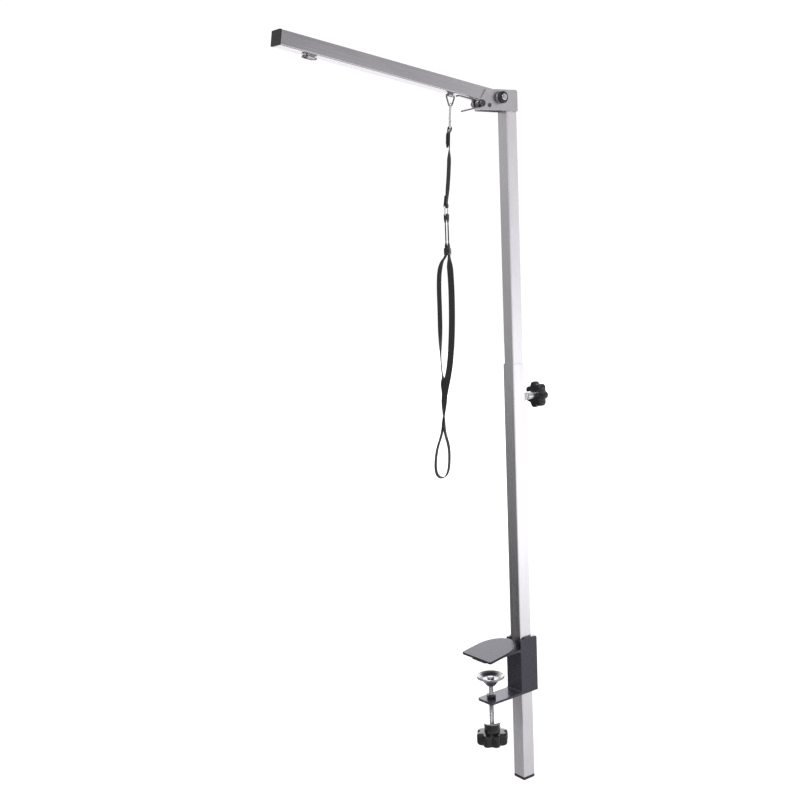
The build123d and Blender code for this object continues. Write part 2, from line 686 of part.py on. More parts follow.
with BuildPart() as hinge_lug:
    with BuildSketch(arm_side.offset(-EAR_OUT)):
        with Locations((fold_local.X, LUG_TOP - LUG_T / 2)):
            Rectangle(2 * LUG_HALF, LUG_T)
    extrude(amount=EAR_OUT + LUG_REACH)
    with BuildSketch(arm_side.offset(-EAR_OUT)):
        with Locations((fold_local.X, fold_local.Y)):
            Circle(EAR_R)
        with BuildLine():
            Polyline(
                (fold_local.X - LUG_HALF, LUG_TOP),
                (fold_local.X + LUG_HALF, LUG_TOP),
                (fold_local.X + EAR_R, fold_local.Y),
                (fold_local.X - EAR_R, fold_local.Y),
                close=True,
            )
        make_face()
    extrude(amount=EAR_T)
    with BuildSketch(arm_side):
        with Locations((fold_local.X, fold_local.Y)):
            Circle(PIN_R + RUNNING)
    extrude(amount=INNER, both=True, mode=Mode.SUBTRACT)
finish(hinge_lug.part, "hinge_lug")


def wire(points, radius, bend):
    """Round wire along straight runs joined by bends, of one radius or one for each corner."""
    with BuildPart() as bent:
        with BuildLine() as route:
            if len(points) > 2:
                FilletPolyline(*points, radius=bend)
            else:
                Line(*points)
        with BuildSketch(Plane(origin=route.line @ 0, z_dir=route.line % 0)):
            Circle(radius)
        sweep(path=route.line)
    return bent.part


def arm_point(along, up, y=0.0):
    return arm_side.from_local_coords(Vector(along, up, y))


# ---- hinge spring: coil outside the cheek, with two wire legs ----
UPPER_LEG = 38.0
LOWER_LEG = 42.0
TURN_IN = 7.0  # the upper leg's end, bent in under the arm
LEG_R = WIRE_R - 0.15  # a little under the coil's wire, so no face is tangent to the coil
LEG_SPLAY = -21.0  # the lower leg's angle from the upper, which runs with the arm
coil_r = (COIL_IN + COIL_OUT) / 2
near_y = COIL_NEAR - WIRE_R
far_y = COIL_FAR + WIRE_R
upper_leg = [
    arm_point(fold_local.X, fold_local.Y + coil_r, near_y),
    arm_point(fold_local.X + UPPER_LEG, fold_local.Y + coil_r, near_y),
    arm_point(fold_local.X + UPPER_LEG, fold_local.Y + coil_r, near_y + TURN_IN),
]
splay = math.radians(LEG_SPLAY)
low_start = (fold_local.X + coil_r * math.sin(splay), fold_local.Y - coil_r * math.cos(splay))
lower_leg = [
    arm_point(low_start[0], low_start[1], far_y),
    arm_point(low_start[0] + LOWER_LEG * math.cos(splay), low_start[1] + LOWER_LEG * math.sin(splay), far_y),
]

with BuildPart() as hinge_spring:
    with BuildSketch(upright(FOLD_X, COIL_NEAR, FOLD_Z)):
        Circle(COIL_OUT)
        Circle(COIL_IN, mode=Mode.SUBTRACT)
    extrude(amount=COIL_NEAR - COIL_FAR)
    add(wire(upper_leg, LEG_R, 2.5))
    add(wire(lower_leg, LEG_R, 2.5))
finish(hinge_spring.part, "hinge_spring")

# ---- eyes under the arm: a wire triangle in a welded saddle ----
SADDLE_R = 2.6
SADDLE_H = LUG_TOP - SADDLE_R
EYE_BEND = 2.2
RING_GAP = 0.4  # butt joint of the ring, hidden in the saddle


def saddle(centre, length):
    with BuildPart() as sleeve:
        end_face = Plane(origin=arm_point(centre - length / 2, SADDLE_H), x_dir=(0, 1, 0), z_dir=arm_dir)
        with BuildSketch(end_face):
            Circle(SADDLE_R)
            with Locations((0, -SADDLE_R / 2)):
                Rectangle(3.0, SADDLE_R)
            Circle(WIRE_R + 0.1, mode=Mode.SUBTRACT)
        extrude(amount=length)
    return sleeve.part


def eye_ring(centre, corners, bends):
    """Closed wire ring through a saddle; corners are (along, below the saddle, sideways)."""
    top = [arm_point(centre + RING_GAP / 2, SADDLE_H), arm_point(centre - RING_GAP / 2, SADDLE_H)]
    route = [top[0]] + [arm_point(s, SADDLE_H - down, side) for s, down, side in corners] + [top[1]]
    return wire(route, WIRE_R, bends)


EYE_S = 117.0
EYE_REAR = 108.0
EYE_FRONT = 126.0
EYE_TIP_S = 114.4  # where the two legs would meet, if the bottom weren't round
EYE_TIP_DOWN = 22.4
EYE_ARC = 3.65  # radius of the round bottom, on the wire's line; the snap hook turns about its centre

noose_saddle = saddle(EYE_S, 9.0)
finish(noose_saddle, "noose_saddle")
noose_eye = eye_ring(
    EYE_S, [(EYE_FRONT, 0, 0), (EYE_TIP_S, EYE_TIP_DOWN, 0), (EYE_REAR, 0, 0)], [EYE_BEND, EYE_ARC, EYE_BEND]
)
finish(noose_eye, "noose_eye")
front_leg = Vector(EYE_FRONT - EYE_TIP_S, EYE_TIP_DOWN)
rear_leg = Vector(EYE_REAR - EYE_TIP_S, EYE_TIP_DOWN)
half_tip = math.radians(front_leg.get_angle(rear_leg)) / 2
up_the_tip = (front_leg.normalized() + rear_leg.normalized()).normalized()
arc_centre = Vector(EYE_TIP_S, SADDLE_H - EYE_TIP_DOWN) + up_the_tip * (EYE_ARC / math.sin(half_tip))
hook_pivot = arm_point(arc_centre.X, arc_centre.Y)
print("snap hook turns about", hook_pivot)

SPARE_S = 374.0
SPARE_REACH = 9.0
spare_saddle = saddle(SPARE_S, 12.0)
finish(spare_saddle, "spare_saddle")
spare_eye = eye_ring(
    SPARE_S,
    [(386.0, 0, 0), (382.0, 0, SPARE_REACH), (366.0, 0, SPARE_REACH), (362.0, 0, 0)],
    EYE_BEND,
)
finish(spare_eye, "spare_eye")

# =====================================================================================
# Noose: hangs from the eye, with a snap hook, a webbing strap, a link, a slider and a loop
# =====================================================================================
apex = hook_pivot - Vector(0, 0, EYE_ARC)  # lowest point of the eye's wire
NOOSE_TURN = 60.0  # degrees that the noose's own plane is turned from the arm's side view
turn = math.radians(NOOSE_TURN)
# Face of the noose: x runs sideways across it, y is up, and its origin is the eye's apex.
noose_face = Plane(
    origin=apex, x_dir=(math.cos(turn), -math.sin(turn), 0), z_dir=(-math.sin(turn), -math.cos(turn), 0)
)
HOOK_TURN = 37.6  # degrees that the snap hook's oval is turned from straight across the arm
hook_turn = math.radians(HOOK_TURN)
hook_face = Plane(
    origin=apex,
    x_dir=(math.sin(hook_turn), math.cos(hook_turn), 0),
    z_dir=(math.cos(hook_turn), -math.sin(hook_turn), 0),
)
HOOK_R = 1.6
HOOK_HALF = 6.9
HOOK_HIGH = EYE_ARC  # line of the hook's top bar, which is the axis that the hook turns about
HOOK_LOW = -34.0
HOOK_BEND = 4.0
GATE_TOP = -8.0
GATE_LOW = -24.0
GATE_R = 1.3
GATE_GAP = 0.6


def hook_point(side, up):
    return hook_face.from_local_coords(Vector(side, up, 0))


snap_hook = wire(
    [
        hook_point(-HOOK_HALF, GATE_TOP + GATE_GAP),
        hook_point(-HOOK_HALF, HOOK_HIGH),
        hook_point(HOOK_HALF, HOOK_HIGH),
        hook_point(HOOK_HALF, HOOK_LOW),
        hook_point(-HOOK_HALF, HOOK_LOW),
        hook_point(-HOOK_HALF, GATE_LOW - GATE_GAP),
    ],
    HOOK_R,
    HOOK_BEND,
)
finish(snap_hook, "snap_hook")
hook_gate = wire([hook_point(-HOOK_HALF, GATE_LOW), hook_point(-HOOK_HALF, GATE_TOP)], GATE_R, 0)
finish(hook_gate, "hook_gate")

# Routes are (sideways, down) in the noose's face. The strap's ends meet the hook and the link.
STRAP_ROUTE = [(0, 36.0), (-3.2, 72), (-6.8, 112), (-12.2, 149.5)]
LINK_TOP = 150.0
LINK_HIGH = 16.0
LINK_X = -12.5
PAIR = 2.2  # each strand's distance from the middle, between the link and the slider
LOOP_ROUTE = [
    (LINK_X - PAIR, 166.4),
    (LINK_X - PAIR, 246),
    (-26.5, 282),
    (-29.0, 331),
    (-28.0, 385),
    (-25.6, 428),
    (-26.6, 466),
    (-30.0, 502),
    (-42.5, 536),
    (-44.0, 574),
    (-21.5, 574),
    (-20.0, 536),
    (-26.0, 502),
    (-23.2, 466),
    (-21.4, 428),
    (-12.2, 385),
    (-8.8, 331),
    (-8.2, 282),
    (LINK_X + PAIR, 246),
    (LINK_X + PAIR, 166.4),
]
TAB_LENGTH = 26.0
TAB_T = 2.4


def band(route, width, thickness, label):
    """Flat webbing along a route in the noose's face, with its width across the face."""
    points = [noose_face.from_local_coords(Vector(x, -down, 0)) for x, down in route]
    with BuildPart() as strip:
        with BuildLine() as line:
            if len(points) > 2:
                FilletPolyline(*points, radius=bend_radii(points))
            else:
                Line(*points)
        with BuildSketch(Plane(origin=line.line @ 0, x_dir=noose_face.z_dir, z_dir=line.line % 0)):
            Rectangle(width, thickness)
        sweep(path=line.line)
    length = sum(edge.length for edge in line.line.edges())
    ratio = strip.part.volume / (width * thickness * length)
    radii = [round(r) for r in bend_radii(points)]
    print(label, "length", round(length, 1), "radii", radii)
    print(label, "volume over section times length", round(ratio, 4))
    finish(strip.part, label)


band(STRAP_ROUTE, WEB_WIDTH, WEB_THICK, "upper_strap")
strap_run = Vector(*STRAP_ROUTE[1]) - Vector(*STRAP_ROUTE[0])
TAB_GAP = 0.4
tab_side = (WEB_THICK + TAB_T) / 2 + TAB_GAP
tab_top = Vector(*STRAP_ROUTE[0]) + Vector(-tab_side, 1)
tab_run = strap_run * (TAB_LENGTH / strap_run.length)
band(
    [
        (tab_top.X, tab_top.Y),
        (tab_top.X + tab_run.X, tab_top.Y + tab_run.Y),
    ],
    WEB_WIDTH,
    TAB_T,
    "strap_tab",
)
band(LOOP_ROUTE, WEB_WIDTH, WEB_THICK, "noose_loop")

LINK_WIDE = 15.0
LINK_T = 2.2
LINK_ROUND = 2.5
link_face = Plane(
    origin=noose_face.from_local_coords(Vector(LINK_X, -LINK_TOP - LINK_HIGH / 2, 0)),
    x_dir=noose_face.z_dir,
    z_dir=noose_face.x_dir,
)

with BuildPart() as strap_link:
    with BuildSketch(link_face):
        RectangleRounded(LINK_WIDE, LINK_HIGH, LINK_ROUND)
        RectangleRounded(
            LINK_WIDE - 2 * LINK_T, LINK_HIGH - 2 * LINK_T, LINK_ROUND - LINK_T / 2, mode=Mode.SUBTRACT
        )
    extrude(amount=LINK_T / 2, both=True)
finish(strap_link.part, "strap_link")

SLIDER_LOW = -226.0
SLIDER_HIGH = 11.0
SLIDER_WIDE = 12.0
SLIDER_DEEP = 14.0
SLIDER_ROUND = 2.4
SLOT_PLAY = 0.35
slider_face = Plane(
    origin=noose_face.from_local_coords(Vector(LINK_X, SLIDER_LOW, 0)),
    x_dir=noose_face.x_dir,
    z_dir=(0, 0, 1),
)

with BuildPart() as noose_slider:
    with BuildSketch(slider_face):
        RectangleRounded(SLIDER_WIDE, SLIDER_DEEP, SLIDER_ROUND)
        with Locations((-PAIR, 0), (PAIR, 0)):
            Rectangle(WEB_THICK + 2 * SLOT_PLAY, WEB_WIDTH + 2 * SLOT_PLAY, mode=Mode.SUBTRACT)
    extrude(amount=SLIDER_HIGH)
finish(noose_slider.part, "noose_slider")
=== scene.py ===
import json
import math

import bmesh
import bpy
from mathutils import Matrix, Vector


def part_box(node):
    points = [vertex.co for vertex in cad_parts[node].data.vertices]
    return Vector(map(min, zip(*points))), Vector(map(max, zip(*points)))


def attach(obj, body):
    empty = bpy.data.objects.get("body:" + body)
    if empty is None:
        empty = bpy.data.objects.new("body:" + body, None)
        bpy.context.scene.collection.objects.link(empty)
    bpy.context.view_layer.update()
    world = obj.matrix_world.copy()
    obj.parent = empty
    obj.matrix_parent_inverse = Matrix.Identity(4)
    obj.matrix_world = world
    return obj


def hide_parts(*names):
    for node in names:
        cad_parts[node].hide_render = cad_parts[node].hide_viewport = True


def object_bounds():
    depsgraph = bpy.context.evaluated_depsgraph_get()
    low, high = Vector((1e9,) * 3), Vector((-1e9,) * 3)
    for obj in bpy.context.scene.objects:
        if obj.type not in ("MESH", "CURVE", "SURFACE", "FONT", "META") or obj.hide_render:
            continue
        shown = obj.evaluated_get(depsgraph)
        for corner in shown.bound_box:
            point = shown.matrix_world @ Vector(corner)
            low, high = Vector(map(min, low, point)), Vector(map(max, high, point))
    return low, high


# Clamp-on grooming arm in a plain white studio. Metres, in the CAD model's own frame: +Z is up the post,
# -X is the way the arm points, and the origin is on the clamp's upper jaw, above its screw.

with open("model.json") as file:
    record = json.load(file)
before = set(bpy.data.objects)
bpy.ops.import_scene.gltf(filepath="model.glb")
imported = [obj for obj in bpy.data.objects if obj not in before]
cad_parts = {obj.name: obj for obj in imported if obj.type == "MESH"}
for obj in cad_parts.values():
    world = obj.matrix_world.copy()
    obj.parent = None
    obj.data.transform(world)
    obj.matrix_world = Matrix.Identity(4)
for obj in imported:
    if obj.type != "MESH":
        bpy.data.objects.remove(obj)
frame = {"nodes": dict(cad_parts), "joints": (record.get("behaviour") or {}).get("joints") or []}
cad_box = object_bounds()
nodes = frame["nodes"]
joints = {joint["name"]: joint for joint in frame["joints"]}
MM = 0.001

WHITE = (1.0, 1.0, 1.0, 1.0)
X = Vector((1, 0, 0))
Y = Vector((0, 1, 0))
UP = Vector((0, 0, 1))


def middle(node):
    """Centre of a CAD node's box."""
    low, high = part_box(node)
    return (Vector(low) + Vector(high)) / 2


def side_of(node, axis, high):
    """One face of a CAD node's box along an axis."""
    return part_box(node)[1 if high else 0][axis]


def toward(vector, guide):
    """The vector or its reverse, whichever points the guide's way."""
    return -vector if vector.dot(guide) < 0 else vector


# ---- places that come from the frame ----
post = middle("outer_tube")
arm_dir = Vector(joints["eye_swing"]["axis"]).normalized()
arm_up = toward(Y.cross(arm_dir), UP)
fold_at = Vector(joints["arm_fold"]["pos_m"])
bolt_at = Vector(joints["arm_clamp_turn"]["pos_m"])
hook_pivot = Vector(joints["noose_hang"]["pos_m"])
EYE_ARC = 3.65 * MM  # radius of the eye's round bottom, on its wire's line
apex = hook_pivot - UP * EYE_ARC
gate_at = Vector(joints["gate_open"]["pos_m"])
gate_axis = Vector(joints["gate_open"]["axis"]).normalized()

# =====================================================================================
# Materials
# =====================================================================================


class Tree:
    """A material's node tree, or the world's, with short calls for the nodes that they share."""

    def __init__(self, name, world=None):
        owner = world or bpy.data.materials.new(name)
        owner.use_nodes = True
        self.material = owner
        self.nodes = owner.node_tree.nodes
        self.links = owner.node_tree.links
        self.shader = self.nodes["Background" if world else "Principled BSDF"]
        self.place = self.nodes.new("ShaderNodeTexCoord").outputs["Generated" if world else "Object"]

    def node(self, kind, inputs, **settings):
        made = self.nodes.new("ShaderNode" + kind)
        for key, value in settings.items():
            setattr(made, key, value)
        for key, value in inputs.items():
            self.feed(made.inputs[key], value)
        return made

    def feed(self, socket, value):
        if isinstance(value, bpy.types.NodeSocket):
            self.links.new(value, socket)
        else:
            socket.default_value = value

    def set(self, **inputs):
        for key, value in inputs.items():
            self.feed(self.shader.inputs[key.replace("_", " ")], value)

    def stretched(self, scale, turn=(0, 0, 0)):
        """Object coordinates turned and then scaled along each axis."""
        turned = self.node("Mapping", {"Vector": self.place, "Rotation": turn})
        return self.node("Mapping", {"Vector": turned.outputs[0], "Scale": scale}).outputs[0]

    def noise(self, vector, scale, detail=3.0, rough=0.55):
        inputs = {"Vector": vector, "Scale": scale, "Detail": detail, "Roughness": rough}
        return self.node("TexNoise", inputs).outputs["Fac"]

    def ramp(self, value, low, high, bottom=0.0, top=1.0, **settings):
        inputs = {"Value": value, "From Min": low, "From Max": high, "To Min": bottom, "To Max": top}
        return self.node("MapRange", inputs, **settings).outputs[0]

    def mix(self, factor, first, second):
        """Mix of two colours, whose sockets are the node's sixth and seventh."""
        return self.node("Mix", {0: factor, 6: first, 7: second}, data_type="RGBA").outputs[2]

    def math(self, kind, first, second=0.0):
        return self.node("Math", {0: first, 1: second}, operation=kind).outputs[0]

    def bump(self, height, distance, strength):
        return self.node("Bump", {"Height": height, "Distance": distance, "Strength": strength}).outputs[0]


def grey(tone, red=1.0, blue=1.0):
    return (tone * red, tone, tone * blue, 1.0)


def plated_tube(name, light=0.80, turn=(0, 0, 0)):
    """Bright-plated square tube: fine drawing lines along it, faint clouds and a few specks."""
    tree = Tree(name)
    lines = tree.noise(tree.stretched((900, 900, 6), turn), 1.0, 2.0)
    clouds = tree.noise(tree.stretched((14, 14, 5), turn), 1.0, 4.0)
    specks = tree.noise(tree.place, 420.0, 2.0)
    tone = tree.mix(tree.ramp(clouds, 0.35, 0.7), grey(light * 0.88, 1.035, 1.06), grey(light, 1.02, 1.05))
    tone = tree.mix(tree.ramp(specks, 0.66, 0.78, 0.0, 0.35), tone, grey(0.46))
    rough = tree.math("ADD", tree.ramp(lines, 0.3, 0.7, 0.17, 0.27), tree.ramp(clouds, 0.3, 0.75, 0.0, 0.08))
    tree.set(Base_Color=tone, Metallic=1.0, Roughness=rough, Normal=tree.bump(lines, 0.00002, 0.35))
    return tree.material


def bracket_plate(name):
    """Plated sheet steel with a fine speckle and a slightly cloudy shine."""
    tree = Tree(name)
    speckle = tree.noise(tree.place, 900.0, 3.0, 0.7)
    clouds = tree.noise(tree.place, 60.0, 4.0)
    tone = tree.mix(tree.ramp(speckle, 0.38, 0.62), grey(0.36, 1.04, 1.06), grey(0.68, 1.0, 1.03))
    tone = tree.mix(tree.ramp(clouds, 0.45, 0.7, 0.0, 0.5), tone, grey(0.42, 1.05, 1.08))
    rough = tree.ramp(speckle, 0.3, 0.7, 0.28, 0.42)
    tree.set(Base_Color=tone, Metallic=1.0, Roughness=rough, Normal=tree.bump(speckle, 0.00004, 0.5))
    return tree.material


def bright_zinc(name, dark=0.5, light=0.74, rough=0.13):
    """Turned zinc-plated steel: a mirror with thin rings of tarnish."""
    tree = Tree(name)
    rings = tree.noise(tree.stretched((40, 40, 1800)), 1.0, 2.0)
    stains = tree.noise(tree.place, 130.0, 4.0)
    tone = tree.mix(tree.ramp(stains, 0.42, 0.7), grey(light, 0.99, 1.03), grey(dark, 1.0, 1.06))
    tree.set(Base_Color=tone, Metallic=1.0, Roughness=tree.ramp(stains, 0.3, 0.75, rough, rough + 0.17),
             Normal=tree.bump(rings, 0.00002, 0.3))
    return tree.material


def black_paint(name):
    """Gloss black enamel on plate steel: orange peel, rolling lines that show through, a lighter tone on
    sharp convex edges.
    """
    tree = Tree(name)
    peel = tree.noise(tree.place, 420.0, 2.0)
    lines = tree.noise(tree.stretched((30, 1500, 30)), 1.0, 2.0)
    dust = tree.noise(tree.place, 1500.0, 2.0, 0.7)
    edge_pointiness = tree.node("NewGeometry", {}).outputs["Pointiness"]
    tone = tree.mix(tree.ramp(dust, 0.6, 0.8), grey(0.006, 1.0, 1.3), grey(0.05, 1.05, 1.3))
    # Sharp convex edges, found by pointiness, are mixed toward a lighter bluish grey.
    tone = tree.mix(tree.ramp(edge_pointiness, 0.53, 0.6, 0.0, 0.7), tone, grey(0.06, 1.0, 1.2))
    rough = tree.math("ADD", tree.ramp(peel, 0.3, 0.7, 0.22, 0.32), tree.ramp(dust, 0.55, 0.8, 0.0, 0.12))
    height = tree.math("ADD", tree.math("MULTIPLY", lines, 0.6), peel)
    tree.set(Base_Color=tone, Metallic=0.0, Roughness=rough, Coat_Weight=0.1, Coat_Roughness=0.2,
             Specular_IOR_Level=0.36, Specular_Tint=grey(0.9, 1.04, 1.4),
             Normal=tree.bump(height, 0.00006, 0.5))
    return tree.material


def moulded(name, tone, low_rough, high_rough, grain, depth):
    """Moulded black plastic with a fine grain, flow marks and lint."""
    tree = Tree(name)
    fine = tree.noise(tree.place, grain, 2.0, 0.6)
    flow = tree.noise(tree.place, 70.0, 3.0)
    colour = tree.mix(tree.ramp(fine, 0.62, 0.8), grey(tone, 1.0, 1.1), grey(tone * 3.2, 1.0, 1.1))
    rough = tree.math("ADD", tree.ramp(flow, 0.3, 0.7, low_rough, high_rough),
                      tree.ramp(fine, 0.5, 0.8, 0, 0.06))
    tree.set(Base_Color=colour, Roughness=rough, Normal=tree.bump(fine, depth, 0.5))
    return tree.material


def weld_metal(name):
    """Plated weld bead: ripples are in the mesh, and heat tint and spatter are here."""
    tree = Tree(name)
    tint = tree.noise(tree.place, 240.0, 4.0)
    tone = tree.mix(tree.ramp(tint, 0.4, 0.7), grey(0.50, 1.02, 1.0), grey(0.24, 1.12, 0.9))
    tree.set(Base_Color=tone, Metallic=1.0, Roughness=tree.ramp(tint, 0.3, 0.7, 0.25, 0.5),
             Normal=tree.bump(tint, 0.0001, 0.5))
    return tree.material


def drawn_wire(name):
    """Dull plated spring wire with die lines and brown tarnish in the hollows."""
    tree = Tree(name)
    tarnish = tree.noise(tree.place, 300.0, 4.0)
    tone = tree.mix(tree.ramp(tarnish, 0.4, 0.68), grey(0.30, 1.0, 1.06), grey(0.07, 1.25, 0.65))
    tree.set(Base_Color=tone, Metallic=1.0, Roughness=tree.ramp(tarnish, 0.3, 0.7, 0.26, 0.45),
             Normal=tree.bump(tarnish, 0.00003, 0.5))
    return tree.material


def cast_nickel(name):
    """Nickel-plated casting: bright on top of a soft ripple."""
    tree = Tree(name)
    ripple = tree.noise(tree.place, 260.0, 3.0)
    tone = tree.mix(tree.ramp(ripple, 0.4, 0.7), grey(0.74, 1.0, 1.03), grey(0.50, 1.02, 1.05))
    tree.set(Base_Color=tone, Metallic=1.0, Roughness=tree.ramp(ripple, 0.3, 0.7, 0.14, 0.3),
             Normal=tree.bump(ripple, 0.00008, 0.5))
    return tree.material


WEAVE = 0.0016  # metres along the webbing from one pick to the next


def webbing(name):
    """Black nylon webbing. UVs run in metres: u across the band and v along it."""
    tree = Tree(name)
    split = tree.node("SeparateXYZ", {"Vector": tree.node("TexCoord", {}).outputs["UV"]})
    across = tree.math("MULTIPLY", split.outputs[0], 2 * math.pi / WEAVE)
    along = tree.math("MULTIPLY", split.outputs[1], 2 * math.pi / WEAVE)
    slant = tree.math("SINE", tree.math("ADD", along, across))
    back = tree.math("SINE", tree.math("SUBTRACT", along, across))
    weave = tree.math("MAXIMUM", slant, back)
    fibre = tree.noise(tree.place, 5200.0, 2.0, 0.7)
    lint = tree.noise(tree.place, 900.0, 3.0, 0.7)
    tone = tree.mix(tree.ramp(weave, -0.2, 1.0), grey(0.003, 1.1, 1.1), grey(0.011, 1.15, 1.15))
    tone = tree.mix(tree.ramp(lint, 0.62, 0.8, 0.0, 0.5), tone, grey(0.03, 1.0, 1.0))
    height = tree.math("ADD", weave, tree.math("MULTIPLY", fibre, 0.6))
    tree.set(Base_Color=tone, Roughness=tree.ramp(fibre, 0.3, 0.7, 0.62, 0.85), Sheen_Weight=0.06,
             Sheen_Roughness=0.45, Normal=tree.bump(height, 0.00018, 0.8))
    return tree.material


ARM_TILT = math.atan2(arm_dir.z, -arm_dir.x)
post_tube = plated_tube("post_tube")
arm_metal = plated_tube("arm_metal", 0.55, turn=(0, math.pi / 2 - ARM_TILT, 0))
plate_metal = bracket_plate("plate_metal")
zinc = bright_zinc("zinc")
zinc_screw = bright_zinc("zinc_screw", 0.38, 0.62)
zinc_pad = bright_zinc("zinc_pad", 0.22, 0.46, 0.24)
zinc_dark = bright_zinc("zinc_dark", 0.05, 0.11, 0.24)
paint = black_paint("paint")
gloss_black = moulded("gloss_black", 0.006, 0.10, 0.20, 900.0, 0.00001)
satin_black = moulded("satin_black", 0.010, 0.32, 0.45, 1600.0, 0.00003)
weld = weld_metal("weld")
wire_metal = drawn_wire("wire_metal")
nickel = cast_nickel("nickel")
web = webbing("web")
thread = moulded("thread", 0.012, 0.5, 0.7, 3000.0, 0.00003)

NODE_MATERIALS = {
    "outer_tube": post_tube,
    "inner_tube": post_tube,
    "arm_tube": arm_metal,
    "clamp_channel": paint,
    "top_plate": paint,
    "jaw_nut": paint,
    "clamp_pad": zinc_pad,
    "pad_stud": zinc_pad,
    "noose_slider": gloss_black,
    "lock_nut": zinc,
    "lock_shoe": zinc,
    "bottom_cap": satin_black,
    "guide_plug": satin_black,
    "arm_end_cap": satin_black,
    "bracket": plate_metal,
    "hinge_lug": plate_metal,
    "noose_saddle": plate_metal,
    "spare_saddle": plate_metal,
    "rest_rivet": zinc_dark,
    "rest_sleeve": zinc,
    "hinge_bolt": zinc_dark,
    "hinge_nut": zinc_dark,
    "arm_nut": zinc,
    "arm_washer": zinc,
    "noose_eye": wire_metal,
    "spare_eye": wire_metal,
}
for node_name, material in NODE_MATERIALS.items():
    mesh = nodes[node_name].data
    mesh.materials.clear()
    mesh.materials.append(material)

# =====================================================================================
# Mesh helpers
# =====================================================================================


def finish_mesh(name, mesh, material, body, replaced=(), sharp=40.0):
    """Makes an object of a mesh, shades it, and fixes it to a body in place of its CAD nodes."""
    obj = bpy.data.objects.new(name, mesh)
    bpy.context.scene.collection.objects.link(obj)
    mesh.materials.append(material)
    shade = bmesh.new()
    shade.from_mesh(mesh)
    bmesh.ops.recalc_face_normals(shade, faces=shade.faces)
    for face in shade.faces:
        face.smooth = True
    for edge in shade.edges:
        edge.smooth = len(edge.link_faces) < 2 or edge.calc_face_angle() < math.radians(sharp)
    shade.to_mesh(mesh)
    shade.free()
    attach(obj, body)
    if replaced:
        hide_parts(*replaced)
    return obj


def loft(rings, closed_loop=False, uvs=None):
    """Skins a list of equal rings of points. uvs holds the u of a ring's points and the v of each ring."""
    mesh = bpy.data.meshes.new("loft")
    skin = bmesh.new()
    rows = [[skin.verts.new(point) for point in ring] for ring in rings]
    count = len(rings[0])
    layer = skin.loops.layers.uv.new("uv") if uvs else None
    spans = len(rows) if closed_loop else len(rows) - 1
    for i in range(spans):
        low, high = rows[i], rows[(i + 1) % len(rows)]
        for j in range(count):
            k = (j + 1) % count
            face = skin.faces.new((low[j], low[k], high[k], high[j]))
            if layer:
                corners = ((i, j), (i, j + 1), (i + 1, j + 1), (i + 1, j))
                for loop, (row, place) in zip(face.loops, corners):
                    loop[layer].uv = (uvs[0][place], uvs[1][row])
    if not closed_loop:
        skin.faces.new(reversed(rows[0]))
        skin.faces.new(rows[-1])
    skin.to_mesh(mesh)
    skin.free()
    return mesh


def turned(profile, origin, axis, side, segments=64, shape=None):
    """Lathe: profile is (height, radius) pairs. shape changes a radius by angle and row."""
    across = axis.cross(side)
    rings = []
    for row, (height, radius) in enumerate(profile):
        ring = []
        for i in range(segments):
            angle = 2 * math.pi * i / segments
            reach = shape(angle, radius, row) if shape else radius
            out = side * (reach * math.cos(angle)) + across * (reach * math.sin(angle))
            ring.append(origin + axis * height + out)
        rings.append(ring)
    return loft(rings)


def circle(centre, side, across, radius, segments):
    """Points round a centre, from one side."""
    turns = [2 * math.pi * j / segments for j in range(segments)]
    return [centre + (side * math.cos(a) + across * math.sin(a)) * radius for a in turns]


def tangents(points):
    """Direction of the line at each of its points."""
    last = len(points) - 1
    return [(points[min(i + 1, last)] - points[max(i - 1, 0)]).normalized() for i in range(last + 1)]


def round_sweep(points, radius, segments=12):
    """Round wire along points; radius is a number or one value for each point."""
    ways = tangents(points)
    side = ways[0].orthogonal().normalized()
    rings = []
    for i, (point, way) in enumerate(zip(points, ways)):
        side = (side - way * side.dot(way)).normalized()
        reach = radius[i] if isinstance(radius, list) else radius
        rings.append(circle(point, side, way.cross(side), reach, segments))
    return loft(rings)


def closed_sweep(points, radius, flat, segments=12):
    """Round wire bent into a closed flat ring."""
    rings = []
    for i, point in enumerate(points):
        way = (points[(i + 1) % len(points)] - points[i - 1]).normalized()
        rings.append(circle(point, flat, way.cross(flat), radius, segments))
    return loft(rings, closed_loop=True)


SPLINE_ORDER = 3


def smooth_line(points, steps):
    """Points along an open NURBS spline whose control points are a route's points."""
    curve = bpy.data.curves.new("line", "CURVE")
    curve.dimensions = "3D"
    spline = curve.splines.new("NURBS")
    spline.points.add(len(points) - 1)
    for control, point in zip(spline.points, points):
        control.co = (*point, 1.0)
    spline.order_u = SPLINE_ORDER
    spline.use_endpoint_u = True
    curve.resolution_u = steps
    holder = bpy.data.objects.new("line", curve)
    bpy.context.scene.collection.objects.link(holder)
    bpy.context.view_layer.update()
    mesh = bpy.data.meshes.new_from_object(holder)
    sampled = [vertex.co.copy() for vertex in mesh.vertices]
    bpy.data.objects.remove(holder)
    return sampled


CORNER_STEPS = 6


def oblong(half_wide, half_deep, corner):
    """Pairs of coordinates round an oblong with rounded corners."""
    pairs = []
    for quarter in range(4):
        mid = math.pi / 2 * (quarter + 0.5)
        centre_x = math.copysign(half_wide - corner, math.cos(mid))
        centre_y = math.copysign(half_deep - corner, math.sin(mid))
        for j in range(CORNER_STEPS + 1):
            angle = math.pi / 2 * (quarter + j / CORNER_STEPS)
            pairs.append((centre_x + corner * math.cos(angle), centre_y + corner * math.sin(angle)))
    return pairs


# =====================================================================================
# Screws: real helical threads
# =====================================================================================
PITCH = 1.25 * MM
PITCH_ROWS = 8  # rows of the mesh to each pitch
PLAIN_ROWS = 3  # rows without a thread at each end
THREAD_DEPTH = 0.62 * MM
THREAD_EDGE = 80  # degrees: a thread's crest is shaded smooth below this


def thread_rows(length, radius):
    """Heights and radii for a threaded rod."""
    rows = int(length / PITCH * PITCH_ROWS)
    return [(length * i / rows, radius) for i in range(rows + 1)]


